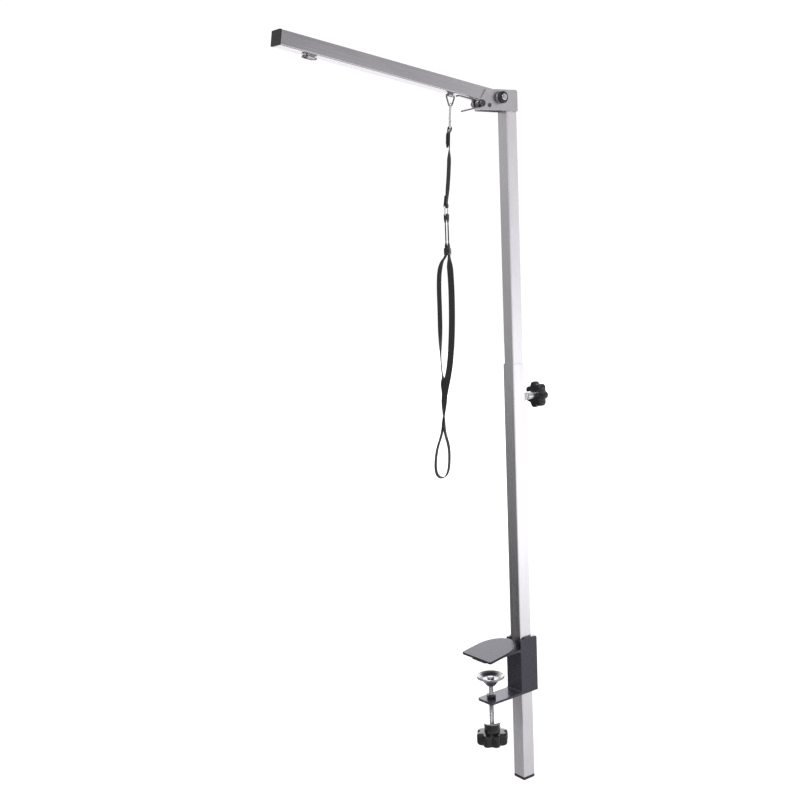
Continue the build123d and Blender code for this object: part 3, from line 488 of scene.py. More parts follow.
def threaded(origin, axis, side, profile, segments=28):
    """Rod with a helical thread between its plain ends."""

    def reach(angle, radius, row):
        if not PLAIN_ROWS <= row < len(profile) - PLAIN_ROWS:
            return radius - THREAD_DEPTH
        phase = (profile[row][0] / PITCH - angle / (2 * math.pi)) % 1.0
        return radius - THREAD_DEPTH * abs(2 * phase - 1)

    return turned(profile, origin, axis, side, segments, reach)


screw_low = side_of("clamp_screw", 2, False)
screw_top = side_of("clamp_screw", 2, True)
screw_r = (side_of("clamp_screw", 0, True) - side_of("clamp_screw", 0, False)) / 2
rod = thread_rows(screw_top - screw_low, screw_r)
finish_mesh("clamp_screw_threaded", threaded(Vector((0, 0, screw_low)), UP, X, rod), zinc_screw, "screw",
            ["clamp_screw"], THREAD_EDGE)

lock_at = Vector((0, 0, joints["lock_turn"]["pos_m"][2]))
lock_low = side_of("lock_screw", 0, False)
NUT_TO_COLLAR = 4.5 * MM
CENTRE_HOLE = 0.2 * MM  # radius where a lathe's flat end closes
collar_face = side_of("lock_nut", 0, True) + NUT_TO_COLLAR
lock_rod = thread_rows(collar_face - lock_low, screw_r)
finish_mesh("lock_screw_threaded", threaded(lock_at + X * lock_low, X, Y, lock_rod), zinc, "lock",
            ["lock_screw"], THREAD_EDGE)
COLLAR_R = 6.5 * MM
lock_knob_face = side_of("lock_knob", 0, False)
collar_long = lock_knob_face - collar_face
collar = [
    (0, CENTRE_HOLE),
    (0, COLLAR_R - 0.8 * MM),
    (0.25 * MM, COLLAR_R - 0.25 * MM),
    (0.8 * MM, COLLAR_R),
    (collar_long - 0.4 * MM, COLLAR_R),
    (collar_long, COLLAR_R - 0.4 * MM),
    (collar_long, CENTRE_HOLE),
]
finish_mesh("lock_collar", turned(collar, lock_at + X * collar_face, X, Y), zinc, "lock")

# ---- arm's clamp bolt: bright domed cap in the wheel, thread out behind ----
bolt_front = side_of("arm_bolt", 1, False)
bolt_back = side_of("arm_bolt", 1, True)
wheel_front = side_of("arm_wheel", 1, False)
wheel_back = side_of("arm_wheel", 1, True)
CAP_R = 5.2 * MM
CAP_HEIGHT = wheel_front - bolt_front
cap = [(0, CENTRE_HOLE), (0, CAP_R)]
for i in range(7):
    rise = math.radians(15 * i)
    cap.append((CAP_HEIGHT * (0.35 + 0.65 * math.sin(rise)), CAP_R * (0.55 + 0.45 * math.cos(rise))))
cap.append((CAP_HEIGHT, CENTRE_HOLE))
wheel_at = Vector((bolt_at.x, wheel_front, bolt_at.z))
finish_mesh("arm_bolt_cap", turned(cap, wheel_at, -Y, X), zinc_screw, "arm_clamp")
bolt_rod = thread_rows(bolt_back - wheel_front, screw_r)
finish_mesh("arm_bolt_threaded", threaded(wheel_at, Y, X, bolt_rod), zinc, "arm_clamp",
            ["arm_bolt"], THREAD_EDGE)

# =====================================================================================
# Knobs
# =====================================================================================
# Rows of a knob: share of its depth, share of its radius, and how fully the gaps between lobes are cut.
KNOB_ROWS = [
    (0.0, 0.30, 0.0),
    (0.0, 0.62, 0.3),
    (0.02, 0.86, 0.8),
    (0.08, 0.96, 1.0),
    (0.20, 1.00, 1.0),
    (0.50, 1.00, 1.0),
    (0.78, 1.00, 1.0),
    (0.91, 0.965, 1.0),
    (0.98, 0.89, 0.9),
    (1.00, 0.76, 0.6),
    (0.995, 0.60, 0.25),
    (0.95, 0.52, 0.0),
    (0.93, 0.47, 0.0),
    (0.93, 0.20, 0.0),
    (0.93, 0.01, 0.0),
]
LOBE_GAP = 0.205  # depth of a gap, as a share of the radius
GAP_SHARPNESS = 1.5
LOBE_SEGMENTS = 12


def star_knob(name, node, origin, axis, side, radius, depth, lobes, body):
    """Moulded star knob with full round lobes, soft edges and a dished face."""

    def reach(angle, size, row):
        hollow = (0.5 + 0.5 * math.cos(lobes * angle)) ** GAP_SHARPNESS
        return size * (1 - LOBE_GAP * KNOB_ROWS[row][2] * hollow)

    profile = [(height * depth, scale * radius) for height, scale, _ in KNOB_ROWS]
    mesh = turned(profile, origin, axis, side, lobes * LOBE_SEGMENTS, reach)
    obj = finish_mesh(name, mesh, gloss_black, body, [node])
    rounding = obj.modifiers.new("rounding", "SUBSURF")
    rounding.levels = 1
    rounding.render_levels = 2


hub_low = side_of("clamp_knob", 2, True)
hub_r = (side_of("knob_collar", 0, True) - side_of("knob_collar", 0, False)) / 2
hub_height = side_of("knob_collar", 2, True) - hub_low
HUB_RING = 1.6 * MM  # bright washer on top of the hub
HUB_HOLE = 0.3 * MM
hub_at = Vector((0, 0, hub_low))
ring_low = hub_height - HUB_RING
hub_rows = [
    (0, HUB_HOLE),
    (0, hub_r * 0.93),
    (1.2 * MM, hub_r * 0.90),
    (hub_height * 0.5, hub_r * 0.90),
    (ring_low - 1.5 * MM, hub_r * 0.93),
    (ring_low, hub_r * 0.97),
    (ring_low, HUB_HOLE),
]
finish_mesh("knob_hub", turned(hub_rows, hub_at, UP, X), gloss_black, "screw",
            ["knob_collar"])
washer_rows = [
    (0, HUB_HOLE),
    (0, hub_r - 0.4 * MM),
    (0.4 * MM, hub_r),
    (HUB_RING - 0.5 * MM, hub_r),
    (HUB_RING, hub_r - 0.6 * MM),
    (HUB_RING, hub_r * 0.45),
    (HUB_RING - 0.4 * MM, hub_r * 0.42),
    (HUB_RING - 0.4 * MM, HUB_HOLE),
]
finish_mesh("hub_washer", turned(washer_rows, hub_at + UP * ring_low, UP, X), zinc_screw, "screw")
CLAMP_KNOB_R = 27.0 * MM
knob_depth = hub_low - side_of("clamp_knob", 2, False)
star_knob("clamp_star_knob", "clamp_knob", hub_at, -UP, X, CLAMP_KNOB_R, knob_depth, 8, "screw")
LOCK_KNOB_R = 22.5 * MM
lock_depth = side_of("lock_knob", 0, True) - lock_knob_face
star_knob("lock_star_knob", "lock_knob", lock_at + X * lock_knob_face, X, Y, LOCK_KNOB_R, lock_depth, 7,
          "lock")

# ---- thumb wheel with knurled rim ----
WHEEL_R = 9.5 * MM
WHEEL_RIBS = 24
RIB_DEEP = 0.07  # share of the radius
RIB_SEGMENTS = 8
PLAIN_EDGE = 0.985  # radius of the smooth edges, as a share of the ribs'
wheel_depth = wheel_back - wheel_front
wheel_rows = [
    (0, 0.15),
    (0, 0.80),
    (0.04, 0.90),
    (0.12, 0.98),
    (0.2, 1.0),
    (0.8, 1.0),
    (0.88, 0.98),
    (0.96, 0.90),
    (1.0, 0.80),
    (1.0, 0.45),
    (1.0, 0.05),
]


def knurl(angle, radius, row):
    """Radius of the wheel at an angle: ribbed along the rim's middle rows, which are at full radius."""
    if wheel_rows[row][1] < 1.0:
        return radius * PLAIN_EDGE
    return radius * (1 - RIB_DEEP * (0.5 + 0.5 * math.cos(WHEEL_RIBS * angle)))


wheel_profile = [(height * wheel_depth, scale * WHEEL_R) for height, scale in wheel_rows]
wheel_mesh = turned(wheel_profile, wheel_at + Y * wheel_depth, -Y, X, WHEEL_RIBS * RIB_SEGMENTS, knurl)
finish_mesh("arm_thumb_wheel", wheel_mesh, gloss_black, "arm_clamp", ["arm_wheel"], 50)

# ---- black cap on the post's foot, with a lip round the tube ----
foot = side_of("outer_tube", 2, False)
foot_half = side_of("outer_tube", 1, True)
foot_cap_low = side_of("bottom_cap", 2, False)
LIP_HIGH = 2.6 * MM
LIP_T = 0.3 * MM


def square_ring(half, corner, height):
    """Rounded square round the post's axis."""
    return [Vector((post.x + x, y, height)) for x, y in oblong(half, half, corner)]


lip_top = foot + LIP_HIGH
foot_rows = [
    (foot_half - 1.6 * MM, 1.0 * MM, foot_cap_low),
    (foot_half - 0.6 * MM, 1.5 * MM, foot_cap_low + 0.25 * MM),
    (foot_half, 2.0 * MM, foot_cap_low + 0.8 * MM),
    (foot_half + LIP_T, 2.2 * MM, foot - 0.6 * MM),
    (foot_half + LIP_T, 2.2 * MM, lip_top - 0.4 * MM),
    (foot_half + LIP_T * 0.5, 2.1 * MM, lip_top),
    (foot_half - 0.3 * MM, 1.6 * MM, lip_top),
]
finish_mesh("foot_cap", loft([square_ring(*row) for row in foot_rows]), satin_black, "base",
            ["bottom_cap"])

# =====================================================================================
# Hinge spring: real coil with its two legs
# =====================================================================================
SPRING_WIRE = 1.25 * MM
COIL_R = 5.05 * MM
COIL_TURNS = 3
COIL_LONG = 7.5 * MM
COIL_GAP = 0.4 * MM  # from the bracket's near face
COIL_STEPS = 28  # points to each turn
LEG_STEPS = 8
UPPER_LEG = 38.0 * MM
LOWER_LEG = 42.0 * MM
TURN_IN = 7.0 * MM
SPLAY = math.radians(-21.0)
near_y = side_of("bracket", 1, False) - COIL_GAP - SPRING_WIRE
sweep_angle = math.pi + SPLAY + 2 * math.pi * COIL_TURNS


def coil_point(turn_by, y):
    """Point on the coil, by its angle from the top, going down the side away from the post."""
    spot = fold_at - arm_dir * (COIL_R * math.sin(turn_by)) + arm_up * (COIL_R * math.cos(turn_by))
    return Vector((spot.x, y, spot.z))


coil = []
for i in range(COIL_STEPS * COIL_TURNS + 1):
    share = i / (COIL_STEPS * COIL_TURNS)
    coil.append(coil_point(sweep_angle * share, near_y - COIL_LONG * share))
upper_end = coil[0] + arm_dir * UPPER_LEG
upper_route = [
    upper_end + Y * TURN_IN,
    upper_end + Y * 2 * MM,
    upper_end,
    upper_end - arm_dir * 3 * MM,
    coil[0] + arm_dir * 6 * MM,
    coil[0] + arm_dir * 0.4 * MM,
]
upper_leg = smooth_line(upper_route, 6)
low_dir = arm_dir * math.cos(SPLAY) + arm_up * math.sin(SPLAY)
lower_leg = [coil[-1] + low_dir * (LOWER_LEG * i / LEG_STEPS) for i in range(1, LEG_STEPS + 1)]
finish_mesh("hinge_spring_coil", round_sweep(upper_leg + coil + lower_leg, SPRING_WIRE), wire_metal, "arm",
            ["hinge_spring"], 70)

# =====================================================================================
# Weld beads: overlapping ripples
# =====================================================================================
RIPPLE = 1.7 * MM
RIPPLE_ROWS = 5  # rows of the mesh to each ripple
BEAD_POINTS = 14  # points round a bead
END_SIZE = 0.4  # a bead's ends, as a share of its radius


def weld_bead(name, start, end, outward, radius, body, replaced=()):
    """Fillet weld with a ripple for each puddle and small ends."""
    length = (end - start).length
    way = (end - start).normalized()
    across = way.cross(outward)
    steps = int(length / RIPPLE * RIPPLE_ROWS)
    rings = []
    for i in range(steps + 1):
        along = length * i / steps
        phase = (along / RIPPLE) % 1.0
        swell = radius * (0.84 + 0.16 * math.sin(math.pi * phase) ** 0.6)
        if i in (0, steps):
            swell *= END_SIZE
        rings.append(circle(start + way * along, outward, across, swell, BEAD_POINTS))
    finish_mesh(name, loft(rings), weld, body, replaced, 85)


BEAD_R = 2.3 * MM
bead_x = side_of("outer_tube", 0, True) + 0.6 * MM
bead_y = side_of("outer_tube", 1, True) + 0.3 * MM
bead_low = side_of("weld_beads", 2, False) + BEAD_R
bead_high = side_of("weld_beads", 2, True) - BEAD_R
for name, side, replaced in (("corner_weld_left", 1, ["weld_beads"]), ("corner_weld_right", -1, [])):
    corner = Vector((bead_x, side * bead_y, 0))
    outward = Vector((1, -side, 0)).normalized()
    weld_bead(name, corner + UP * bead_low, corner + UP * bead_high, outward, BEAD_R, "base", replaced)

MAST_BEAD_R = 1.1 * MM
mast_top = side_of("mast_weld", 2, True)
mast_half = side_of("inner_tube", 0, True) - post.x
for i, (dx, dy) in enumerate(((1, 0), (0, 1), (-1, 0), (0, -1))):
    out = Vector((dx, dy, 0))
    run = Vector((-dy, dx, 0))
    spot = Vector((post.x, 0, mast_top - 0.2 * MM)) + out * mast_half
    reach = mast_half - 1.5 * MM
    replaced = ["mast_weld"] if i == 0 else []
    weld_bead(f"mast_weld_{i}", spot - run * reach, spot + run * reach, (out - UP).normalized(), MAST_BEAD_R,
              "mast", replaced)

# =====================================================================================
# Noose
# =====================================================================================
NOOSE_TURN = math.radians(60.0)
noose_x = Vector((math.cos(NOOSE_TURN), -math.sin(NOOSE_TURN), 0))
noose_out = Vector((-math.sin(NOOSE_TURN), -math.cos(NOOSE_TURN), 0))
WEB_WIDTH = 10.0 * MM
WEB_THICK = 1.5 * MM
SOFT_EDGE = 60  # degrees: edges of the webbing, the hook and the link are shaded smooth below this
HOOK_SEGMENTS = 16
ROUTE_STEPS = 24


def noose_point(sideways, down, forward=0.0):
    """Point in the noose's own plane, in millimetres from the eye's apex."""
    return apex + noose_x * (sideways * MM) - UP * (down * MM) + noose_out * (forward * MM)


EDGE_STEPS = 5


def band_ring(point, wide, thin, width, thickness):
    """Cross-section of webbing: flat faces and round edges."""
    flat = width / 2 - thickness / 2
    ring = []
    for end in (1, -1):
        for j in range(EDGE_STEPS + 1):
            angle = math.pi * j / EDGE_STEPS - math.pi / 2
            out = flat + thickness / 2 * math.cos(angle)
            ring.append(point + wide * (end * out) + thin * (end * thickness / 2 * math.sin(angle)))
        ring.append(point + thin * (end * thickness / 2))
    return ring


def band(points, face_of, width=WEB_WIDTH, thickness=WEB_THICK):
    """Webbing along points. face_of gives the direction of its width at each point."""
    rings = []
    travelled = [0.0]
    for before, after in zip(points, points[1:]):
        travelled.append(travelled[-1] + (after - before).length)
    for i, (point, way) in enumerate(zip(points, tangents(points))):
        wide = face_of(i, point)
        wide = (wide - way * wide.dot(way)).normalized()
        rings.append(band_ring(point, wide, way.cross(wide), width, thickness))
    ring_u = [0.0]
    first = rings[0]
    for j in range(len(first)):
        ring_u.append(ring_u[-1] + (first[(j + 1) % len(first)] - first[j]).length)
    return loft(rings, uvs=(ring_u, travelled))


def eased(value, low, high):
    """Share from 0 at low to 1 at high, with soft ends."""
    share = min(max((value - low) / (high - low), 0.0), 1.0)
    return share * share * (3 - 2 * share)


def down_from_apex(point):
    """Millimetres below the eye."""
    return (apex.z - point.z) / MM


# ---- snap hook: a cast oval, its gate and the gate's pin ----
hook_across = toward(gate_axis.cross(UP), apex - gate_at)
HOOK_R = 1.6 * MM
HOOK_HALF = 6.9 * MM
HOOK_HIGH = EYE_ARC
HOOK_LOW = -34.0 * MM
GATE_TOP = -8.0 * MM
GATE_LOW = -24.0 * MM
HOOK_LEAN = math.tan(math.radians(3.5))  # the hook hangs a little out of plumb, on its way down
lean_way = toward(Vector((hook_across.y, -hook_across.x, 0)), -noose_x)


def hook_point(sideways, up):
    """Point on the leaning hook's own plane, from the eye's apex."""
    return apex + hook_across * sideways + UP * up + lean_way * ((HOOK_HIGH - up) * HOOK_LEAN)


hook_line = smooth_line(
    [
        hook_point(-HOOK_HALF, GATE_TOP + 0.8 * MM),
        hook_point(-HOOK_HALF, GATE_TOP + 3 * MM),
        hook_point(-HOOK_HALF, HOOK_HIGH - 2 * MM),
        hook_point(-HOOK_HALF + 2 * MM, HOOK_HIGH),
        hook_point(0, HOOK_HIGH),
        hook_point(HOOK_HALF - 2 * MM, HOOK_HIGH),
        hook_point(HOOK_HALF, HOOK_HIGH - 2 * MM),
        hook_point(HOOK_HALF, HOOK_LOW / 2),
        hook_point(HOOK_HALF, HOOK_LOW + 2 * MM),
        hook_point(HOOK_HALF - 2 * MM, HOOK_LOW),
        hook_point(0, HOOK_LOW),
        hook_point(-HOOK_HALF + 2 * MM, HOOK_LOW),
        hook_point(-HOOK_HALF, HOOK_LOW + 2 * MM),
        hook_point(-HOOK_HALF, GATE_LOW - 3 * MM),
        hook_point(-HOOK_HALF, GATE_LOW - 0.8 * MM),
    ],
    12,
)
hook_size = []
for i in range(len(hook_line)):
    share = i / (len(hook_line) - 1)
    hook_size.append(HOOK_R * (0.86 + 0.14 * math.sin(math.pi * share) ** 0.5))
finish_mesh("snap_hook_body", round_sweep(hook_line, hook_size, HOOK_SEGMENTS), nickel, "noose",
            ["snap_hook"], SOFT_EDGE)
GATE_R = 1.25 * MM
GATE_STEPS = 10
gate_line = []
gate_size = []
for i in range(GATE_STEPS + 1):
    gate_line.append(hook_point(-HOOK_HALF, GATE_LOW + (GATE_TOP - GATE_LOW) * i / GATE_STEPS))
    gate_size.append(GATE_R * (1.12 if i < 2 else 0.92 + 0.08 * math.cos(i)))
finish_mesh("snap_gate", round_sweep(gate_line, gate_size, HOOK_SEGMENTS), nickel, "hook_gate",
            ["hook_gate"], SOFT_EDGE)
PIN_R = 0.9 * MM
PIN_HALF = 2.3 * MM
pin_rows = [
    (-PIN_HALF, 0.1 * MM),
    (-PIN_HALF, PIN_R - 0.15 * MM),
    (-PIN_HALF + 0.3 * MM, PIN_R),
    (PIN_HALF - 0.3 * MM, PIN_R),
    (PIN_HALF, PIN_R - 0.15 * MM),
    (PIN_HALF, 0.1 * MM),
]
pin_at = hook_point(-HOOK_HALF, GATE_LOW + 0.6 * MM)
finish_mesh("gate_pin", turned(pin_rows, pin_at, gate_axis, UP, 24), nickel, "noose")

# ---- strap between the hook and the link, as (sideways, down) in the noose's plane ----
STRAP_ROUTE = [(-2.5, 36.2), (-4.4, 72), (-7.2, 112), (-12.2, 149.5)]
strap_points = smooth_line([noose_point(*spot) for spot in STRAP_ROUTE], ROUTE_STEPS)
bar_way = toward(hook_across, noose_out)
bar_side = (noose_out - bar_way * noose_out.dot(bar_way)).normalized()
NOOSE_ANGLE = bar_way.angle(noose_out)  # between the hook's bar and the square to the noose's plane


def facing(angle):
    """Direction of the webbing's width, turned from along the hook's bar toward the noose's plane."""
    return bar_way * math.cos(angle) + bar_side * math.sin(angle)


STRAP_TURN = math.radians(36.0)


def strap_face(_, point):
    """The width lies along the hook's bar at the top and square to the noose's plane at the link."""
    down = down_from_apex(point)
    return facing(STRAP_TURN * eased(down, 60, 82) + (NOOSE_ANGLE - STRAP_TURN) * eased(down, 122, 146))


strap_mesh = band(strap_points, strap_face)
strap = finish_mesh("hanging_strap", strap_mesh, web, "noose", ["upper_strap"], SOFT_EDGE)

# ---- folded end of the strap, round the hook's bar and stitched down ----
strap_way = (strap_points[4] - strap_points[0]).normalized()
bar = hook_point(0, HOOK_LOW)
fold_out = toward(strap_way.cross(hook_across).normalized(), -noose_x)
FOLD_T = 2.0 * MM
FOLD_R = HOOK_R + FOLD_T / 2 + 0.1 * MM
TAB = 27.0 * MM
FOLD_STEPS = 8
LAYER_GAP = 0.15 * MM
FIRST = (WEB_THICK + FOLD_T) / 2 + LAYER_GAP  # the first layer's middle, from the strap's
SECOND = FIRST + FOLD_T + LAYER_GAP
fold_route = [
    bar + strap_way * 5.5 * MM + fold_out * (SECOND - 0.3 * MM),
    bar + strap_way * TAB * 0.5 + fold_out * SECOND,
    bar + strap_way * TAB * 0.9 + fold_out * (SECOND + 0.1 * MM),
    bar + strap_way * (TAB + 1.6 * MM) + fold_out * (FIRST + SECOND) / 2,
    bar + strap_way * TAB * 0.9 + fold_out * (FIRST - 0.05 * MM),
    bar + strap_way * TAB * 0.55 + fold_out * FIRST,
    bar + strap_way * 7.0 * MM + fold_out * FIRST,
    bar + strap_way * 3.5 * MM + fold_out * FOLD_R,
    bar + fold_out * FOLD_R,
    bar - strap_way * FOLD_R + fold_out * FOLD_R * 0.75,
    bar - strap_way * FOLD_R * 1.1,
    bar - strap_way * FOLD_R - fold_out * FOLD_R * 0.75,
    bar - fold_out * FOLD_R,
    bar + strap_way * 2.5 * MM - fold_out * FOLD_R * 0.8,
    bar + strap_way * 5.5 * MM,
]
fold_mesh = band(smooth_line(fold_route, FOLD_STEPS), lambda _, point: hook_across, WEB_WIDTH, FOLD_T)
fold = finish_mesh("stitched_fold", fold_mesh, web, "noose", ["strap_tab"], SOFT_EDGE)

THREAD_R = 0.3 * MM
THREAD_LIFT = 0.25 * MM
STITCH_SHARE = 0.66  # a stitch's length, as a share of the way to the next
TACK_WIDE = 6.5 * MM


def stitches(name, start, end, count, lift):
    """Row of short raised stitches, as one mesh."""
    joined = bmesh.new()
    run = end - start
    for i in range(count):
        first = start + run * (i / count)
        last = start + run * ((i + STITCH_SHARE) / count)
        path = [first, first.lerp(last, 0.2) + lift, first.lerp(last, 0.8) + lift, last]
        piece = round_sweep(path, THREAD_R, 6)
        joined.from_mesh(piece)
        bpy.data.meshes.remove(piece)
    mesh = bpy.data.meshes.new(name)
    joined.to_mesh(mesh)
    joined.free()
    return finish_mesh(name, mesh, thread, "noose", (), SOFT_EDGE)


def bar_tack(name, centre, along, across, out, length):
    """Two rows of stitches along the webbing and one across it."""
    lift = out * THREAD_LIFT
    half_long = along * length / 2
    half_wide = across * (TACK_WIDE / 2)
    pieces = []
    for i, edge in enumerate((centre - half_wide, centre + half_wide)):
        pieces.append(stitches(f"{name}_row_{i}", edge - half_long, edge + half_long, 7, lift))
    pieces.append(stitches(f"{name}_cross", centre - half_wide, centre + half_wide, 4, lift))
    return pieces


tack_at = bar + strap_way * 16 * MM + fold_out * (SECOND + FOLD_T / 2)
fold_tacks = bar_tack("fold_stitch", tack_at, strap_way, hook_across, fold_out, 15 * MM)

# ---- link: a rounded wire ring across the webbing ----
LINK_X = -12.5
LINK_TOP = 150.0
LINK_HIGH = 16.0
LINK_WIDE = 15.0
LINK_WIRE = 1.15


def link_point(forward, down):
    return noose_point(LINK_X, LINK_TOP + down, forward)


LINK_CORNER = 2.0
LINK_STEPS = 48
link_line = []
for i in range(LINK_STEPS):
    angle = 2 * math.pi * i / LINK_STEPS
    corner_out = math.copysign(LINK_WIDE / 2 - LINK_WIRE - LINK_CORNER, math.cos(angle))
    corner_down = math.copysign(LINK_HIGH / 2 - LINK_WIRE - LINK_CORNER, math.sin(angle))
    link_line.append(link_point(corner_out + LINK_CORNER * math.cos(angle),
                                LINK_HIGH / 2 + corner_down + LINK_CORNER * math.sin(angle)))
finish_mesh("wire_link", closed_sweep(link_line, LINK_WIRE * MM, noose_x), nickel, "noose",
            ["strap_link"], SOFT_EDGE)

# ---- lower end of the strap, turned round the link's top bar ----
PAIR = 2.2  # each strand's distance from the middle, between the link and the slider
top_bar = link_point(0, LINK_WIRE)
end_way = (strap_points[-1] - strap_points[-4]).normalized()
TURN_R = (LINK_WIRE + 0.85) * MM
end_route = [
    top_bar - end_way * 17 * MM - noose_x * (WEB_THICK + 0.35 * MM),
    top_bar - end_way * 8 * MM - noose_x * (WEB_THICK + 0.45 * MM),
    top_bar - end_way * 3.5 * MM - noose_x * TURN_R * 1.1,
    top_bar - noose_x * TURN_R,
    top_bar - UP * TURN_R - noose_x * TURN_R * 0.8,
    top_bar - UP * TURN_R + noose_x * TURN_R * 0.8,
    top_bar + noose_x * TURN_R,
    top_bar - end_way * 3.0 * MM + noose_x * TURN_R * 0.7,
    top_bar - end_way * 6.0 * MM,
]
end_mesh = band(smooth_line(end_route, FOLD_STEPS), lambda _, point: noose_out)
finish_mesh("link_fold", end_mesh, web, "noose", (), SOFT_EDGE)
tack_low = top_bar - end_way * 11 * MM - noose_x * (WEB_THICK * 1.5 + 0.55 * MM)
bar_tack("link_stitch", tack_low, end_way, noose_out, -noose_x, 9 * MM)

# ---- loop: two strands through the slider, an open noose, a half twist and a small hand loop ----
# Places are (sideways, down, forward) in the noose's plane.
LOOP_ROUTE = [
    (LINK_X - PAIR, 166.4, 0),
    (LINK_X - PAIR, 215, 0),
    (LINK_X - PAIR, 227, 0),
    (-24.0, 237, 0),
    (-29.0, 262, 0),
    (-28.8, 320, 0),
    (-30.0, 375, 0),
    (-29.5, 405, -0.4),
    (-27.5, 422, -1.0),
    (-26.0, 440, -1.3),
    (-26.4, 459, -1.0),
    (-27.6, 482, -0.5),
    (-28.2, 506, 0),
    (-19.5, 534, 0),
    (-24.0, 581, 0),
    (-46.0, 581, 0),
    (-44.0, 540, 0),
    (-30.8, 506, 0),
    (-29.3, 482, 0.5),
    (-27.4, 459, 1.0),
    (-24.0, 440, 1.3),
    (-19.4, 421, 1.0),
    (-14.0, 396, 0.6),
    (-9.5, 345, 0),
    (-8.0, 290, 0),
    (-8.8, 255, 0),
    (-10.0, 239, 0),
    (LINK_X + PAIR, 227, 0),
    (LINK_X + PAIR, 215, 0),
    (LINK_X + PAIR, 166.4, 0),
]
loop_points = smooth_line([noose_point(*spot) for spot in LOOP_ROUTE], ROUTE_STEPS)
lowest = min(range(len(loop_points)), key=lambda i: loop_points[i].z)
# How far each strand's face is turned, in degrees: (from, to, turn), with the first two in mm below the eye.
LEFT_TURNS = [
    (170, 180, -23.7),
    (203, 213, 23.7),
    (227, 250, 23),
    (335, 395, -41),
    (412, 440, 108),
    (436, 500, 90),
]
RIGHT_TURNS = [(170, 180, -23.7), (203, 213, 23.7), (227, 250, 56), (405, 440, 34), (436, 500, 90)]


def loop_face(i, point):
    """The width is square to the noose's plane, and turns half round where the two strands cross."""
    down = down_from_apex(point)
    turns = LEFT_TURNS if i < lowest else RIGHT_TURNS
    turned_by = sum(turn * eased(down, low, high) for low, high, turn in turns)
    return facing(NOOSE_ANGLE + math.radians(turned_by))


loop_mesh = band(loop_points, loop_face)
loop = finish_mesh("webbing_loop", loop_mesh, web, "noose", ["noose_loop"], SOFT_EDGE)
low_bar = link_point(0, LINK_HIGH - LINK_WIRE)
strand = PAIR * MM
over_route = [
    noose_point(LINK_X - PAIR, 167.5),
    noose_point(LINK_X - PAIR, 164.5),
    low_bar - noose_x * strand + UP * strand * 0.6,
    low_bar + UP * strand * 1.05,
    low_bar + noose_x * strand + UP * strand * 0.6,
    noose_point(LINK_X + PAIR, 164.5),
    noose_point(LINK_X + PAIR, 167.5),
]
over_mesh = band(smooth_line(over_route, FOLD_STEPS), lambda _, point: noose_out, WEB_WIDTH * 1.01,
                 WEB_THICK * 1.06)
over = finish_mesh("loop_over_link", over_mesh, web, "noose", (), SOFT_EDGE)

# ---- slider: a tight sleeve round both strands ----
slider_low = side_of("noose_slider", 2, False)
slider_high = side_of("noose_slider", 2, True)
SLEEVE_WALL = 1.2 * MM
SLEEVE_SIDE = (PAIR + 0.95) * MM
SLEEVE_DEEP = 5.3 * MM
SLEEVE_CORNER = 0.8 * MM


def sleeve_ring(grow, height):
    """Rounded oblong round the two strands, this much larger than the hole."""
    centre = noose_point(LINK_X, 0) + UP * (height - apex.z)
    pairs = oblong(SLEEVE_SIDE + grow, SLEEVE_DEEP + grow, SLEEVE_CORNER + grow)
    return [centre + noose_x * side_out + noose_out * deep_out for side_out, deep_out in pairs]


sleeve_rows = [
    (0.0, slider_low + 0.5 * MM),
    (0.35 * MM, slider_low),
    (SLEEVE_WALL - 0.35 * MM, slider_low),
    (SLEEVE_WALL, slider_low + 0.6 * MM),
    (SLEEVE_WALL * 1.1, (slider_low + slider_high) / 2),
    (SLEEVE_WALL, slider_high - 0.6 * MM),
    (SLEEVE_WALL - 0.35 * MM, slider_high),
    (0.35 * MM, slider_high),
    (0.0, slider_high - 0.5 * MM),
]
finish_mesh("slider_sleeve", loft([sleeve_ring(*row) for row in sleeve_rows], closed_loop=True), gloss_black,
            "noose_slider", ["noose_slider"], 50)

# =====================================================================================
# Studio: pale floor, soft light and the camera. Only the stage tells the camera's rays from others.
# =====================================================================================
FLOOR_DROP = 0.35
FLOOR_HALF = 9.0
FLAG_WAY = (-0.61, 0.79, 0.0)  # from the post to the dark card beside the set
floor_low = cad_box[0][2] - FLOOR_DROP


def stage_card(name, corners, tree):
    """One flat face of the set."""
    mesh = bpy.data.meshes.new(name)
    mesh.from_pydata([tuple(corner) for corner in corners], [], [(0, 1, 2, 3)])
    mesh.materials.append(tree.material)
    card = bpy.data.objects.new(name, mesh)
    bpy.context.scene.collection.objects.link(card)
    return card


def pale_floor():
    """Floor that is white to the camera. Reflections see it darker near the post and toward -X."""
    signs = ((-1, -1), (1, -1), (1, 1), (-1, 1))
    tree = Tree("floor_paint")
    grain = tree.noise(tree.place, 3.0, 3.0)
    away = tree.node("VectorMath", {0: tree.place}, operation="LENGTH").outputs["Value"]
    beside = tree.node("VectorMath", {0: tree.place, 1: FLAG_WAY}, operation="DOT_PRODUCT").outputs["Value"]
    seen = tree.node("LightPath", {}).outputs["Is Camera Ray"]
    shade = tree.ramp(beside, -0.3, 0.4, 0.62, 0.34)
    shade = tree.math("MAXIMUM", shade, tree.ramp(away, 1.3, 2.6))
    shade = tree.math("MAXIMUM", shade, seen)
    paper = tree.mix(grain, grey(0.90), grey(0.93))
    left_out = tree.node("SeparateXYZ", {"Vector": tree.place}).outputs[0]
    glow = tree.math("MAXIMUM", tree.ramp(left_out, -1.5, 0.8, 0.05, 0.62), tree.math("MULTIPLY", seen, 0.7))
    tree.set(Base_Color=tree.mix(shade, grey(0.0), paper), Roughness=0.9, Emission_Color=WHITE,
             Emission_Strength=tree.math("MULTIPLY", glow, tree.ramp(away, 0.5, 3.5, 0.06, 1.0)))
    stage_card("floor", [(x * FLOOR_HALF, y * FLOOR_HALF, floor_low) for x, y in signs], tree)


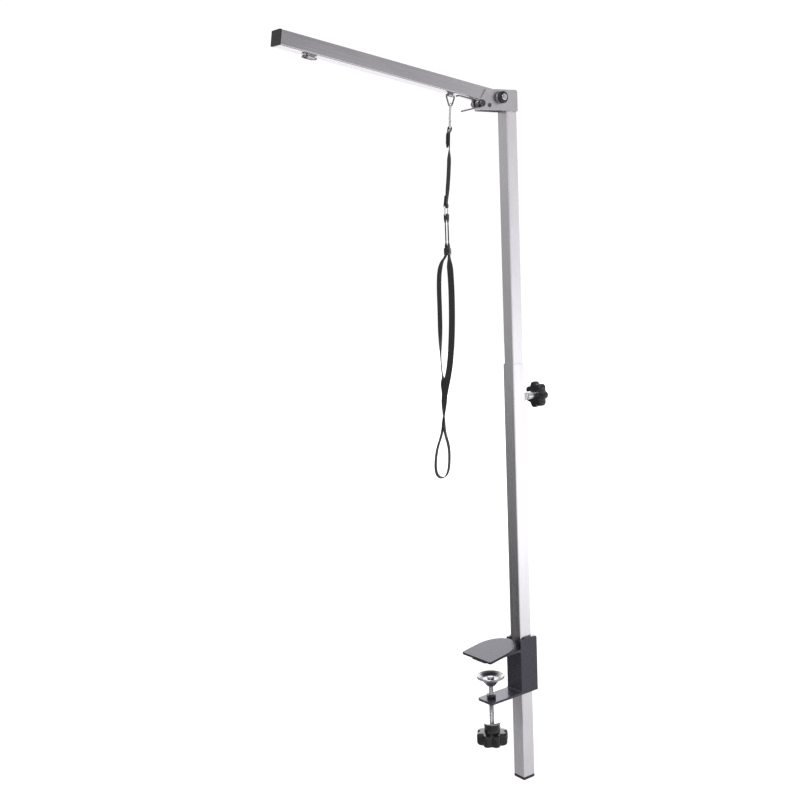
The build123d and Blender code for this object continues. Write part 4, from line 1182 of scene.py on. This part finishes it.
# Soft lobes of the room's light: direction, cosines where it starts and is full, and what it adds.
ROOM_LIGHT = 0.72
DARKEST = 0.03
SEEN_WHITE = 1.05  # the background's strength as the camera sees it
ROOM_LOBES = [
    ((0.60, 0.75, 0.34), 0.70, 0.97, 2.1),
    ((0.74, -0.66, -0.08), 0.86, 0.99, 0.30),
    ((0.50, -0.84, 0.18), 0.95, 0.995, -0.45),
]


def room():
    """World light that a pale studio with one dark flag gives; the camera sees plain white."""
    world = bpy.data.worlds.new("room")
    bpy.context.scene.world = world
    tree = Tree("room", world)
    total = ROOM_LIGHT
    for direction, start, full, amount in ROOM_LOBES:
        inputs = {0: tree.place, 1: Vector(direction).normalized()}
        dot = tree.node("VectorMath", inputs, operation="DOT_PRODUCT").outputs["Value"]
        lobe = tree.ramp(dot, start, full, 0.0, amount, interpolation_type="SMOOTHSTEP")
        total = tree.math("ADD", lobe, total)
    seen = tree.node("LightPath", {}).outputs["Is Camera Ray"]
    pick = tree.node("Mix", {0: seen, 2: tree.math("MAXIMUM", total, DARKEST), 3: SEEN_WHITE})
    tree.set(Strength=pick.outputs[0], Color=(1.0, 0.985, 1.0, 1.0))


LAMP_TARGET = Vector((0, 0, 0.4))


def soft_box(name, place, size, power):
    """Soft lamp that the camera doesn't see."""
    light = bpy.data.lights.new(name, "AREA")
    light.shape = "RECTANGLE"
    light.size = size
    light.size_y = size * 0.7
    light.energy = power
    lamp = bpy.data.objects.new(name, light)
    lamp.location = place
    lamp.rotation_euler = (LAMP_TARGET - Vector(place)).to_track_quat("-Z", "Y").to_euler()
    lamp.visible_camera = False
    bpy.context.scene.collection.objects.link(lamp)


FLAG_AWAY = 1.3
FLAG_HALF = 0.75
FLAG_LOW = -0.5  # heights where its light starts to rise, and is full
FLAG_HIGH = 0.9
FLAG_TOP = 1.6


def dark_flag():
    """Grey card beside the set, dark below: only the plated faces turned to it see it."""
    out = Vector(FLAG_WAY).normalized()
    along = Vector((out.y, -out.x, 0)) * FLAG_HALF
    centre = Vector((post.x, 0, 0)) + out * FLAG_AWAY
    base = centre + UP * floor_low
    top = centre + UP * FLAG_TOP
    tree = Tree("flag_card")
    height = tree.node("SeparateXYZ", {"Vector": tree.place}).outputs[2]
    tree.set(Base_Color=grey(0.0), Roughness=1.0, Specular_IOR_Level=0.0, Emission_Color=WHITE,
             Emission_Strength=tree.ramp(height, FLAG_LOW, FLAG_HIGH, 0.04, 0.5))
    flag = stage_card("flag", [base - along, base + along, top + along, top - along], tree)
    flag.visible_camera = False
    flag.visible_diffuse = False
    flag.visible_shadow = False


CAMERA_FROM_POST = Vector((-1310.7, -1394.2, 689.4)) * MM
YAW = math.radians(37.579)
PITCH = math.radians(-7.750)
ROLL = math.radians(-2.273)
LENS = 52.57
SENSOR = 36.0


def camera():
    """Camera at a fixed place from the post's foot."""
    data = bpy.data.cameras.new("camera")
    data.lens = LENS
    data.sensor_width = SENSOR
    data.clip_end = 50
    obj = bpy.data.objects.new("camera", data)
    bpy.context.scene.collection.objects.link(obj)
    ahead = Vector((math.sin(YAW) * math.cos(PITCH), math.cos(YAW) * math.cos(PITCH), math.sin(PITCH)))
    level = Vector((math.cos(YAW), -math.sin(YAW), 0))
    above = level.cross(ahead)
    right = level * math.cos(ROLL) + above * math.sin(ROLL)
    up = above * math.cos(ROLL) - level * math.sin(ROLL)
    turn = Matrix((right, up, -ahead)).transposed().to_4x4()
    obj.matrix_world = Matrix.Translation(Vector((post.x, 0, 0)) + CAMERA_FROM_POST) @ turn
    bpy.context.scene.camera = obj


pale_floor()
room()
dark_flag()
soft_box("key_light", (-1.7, -1.2, 2.4), 1.2, 26)
camera()
bpy.context.scene.view_settings.view_transform = "Standard"
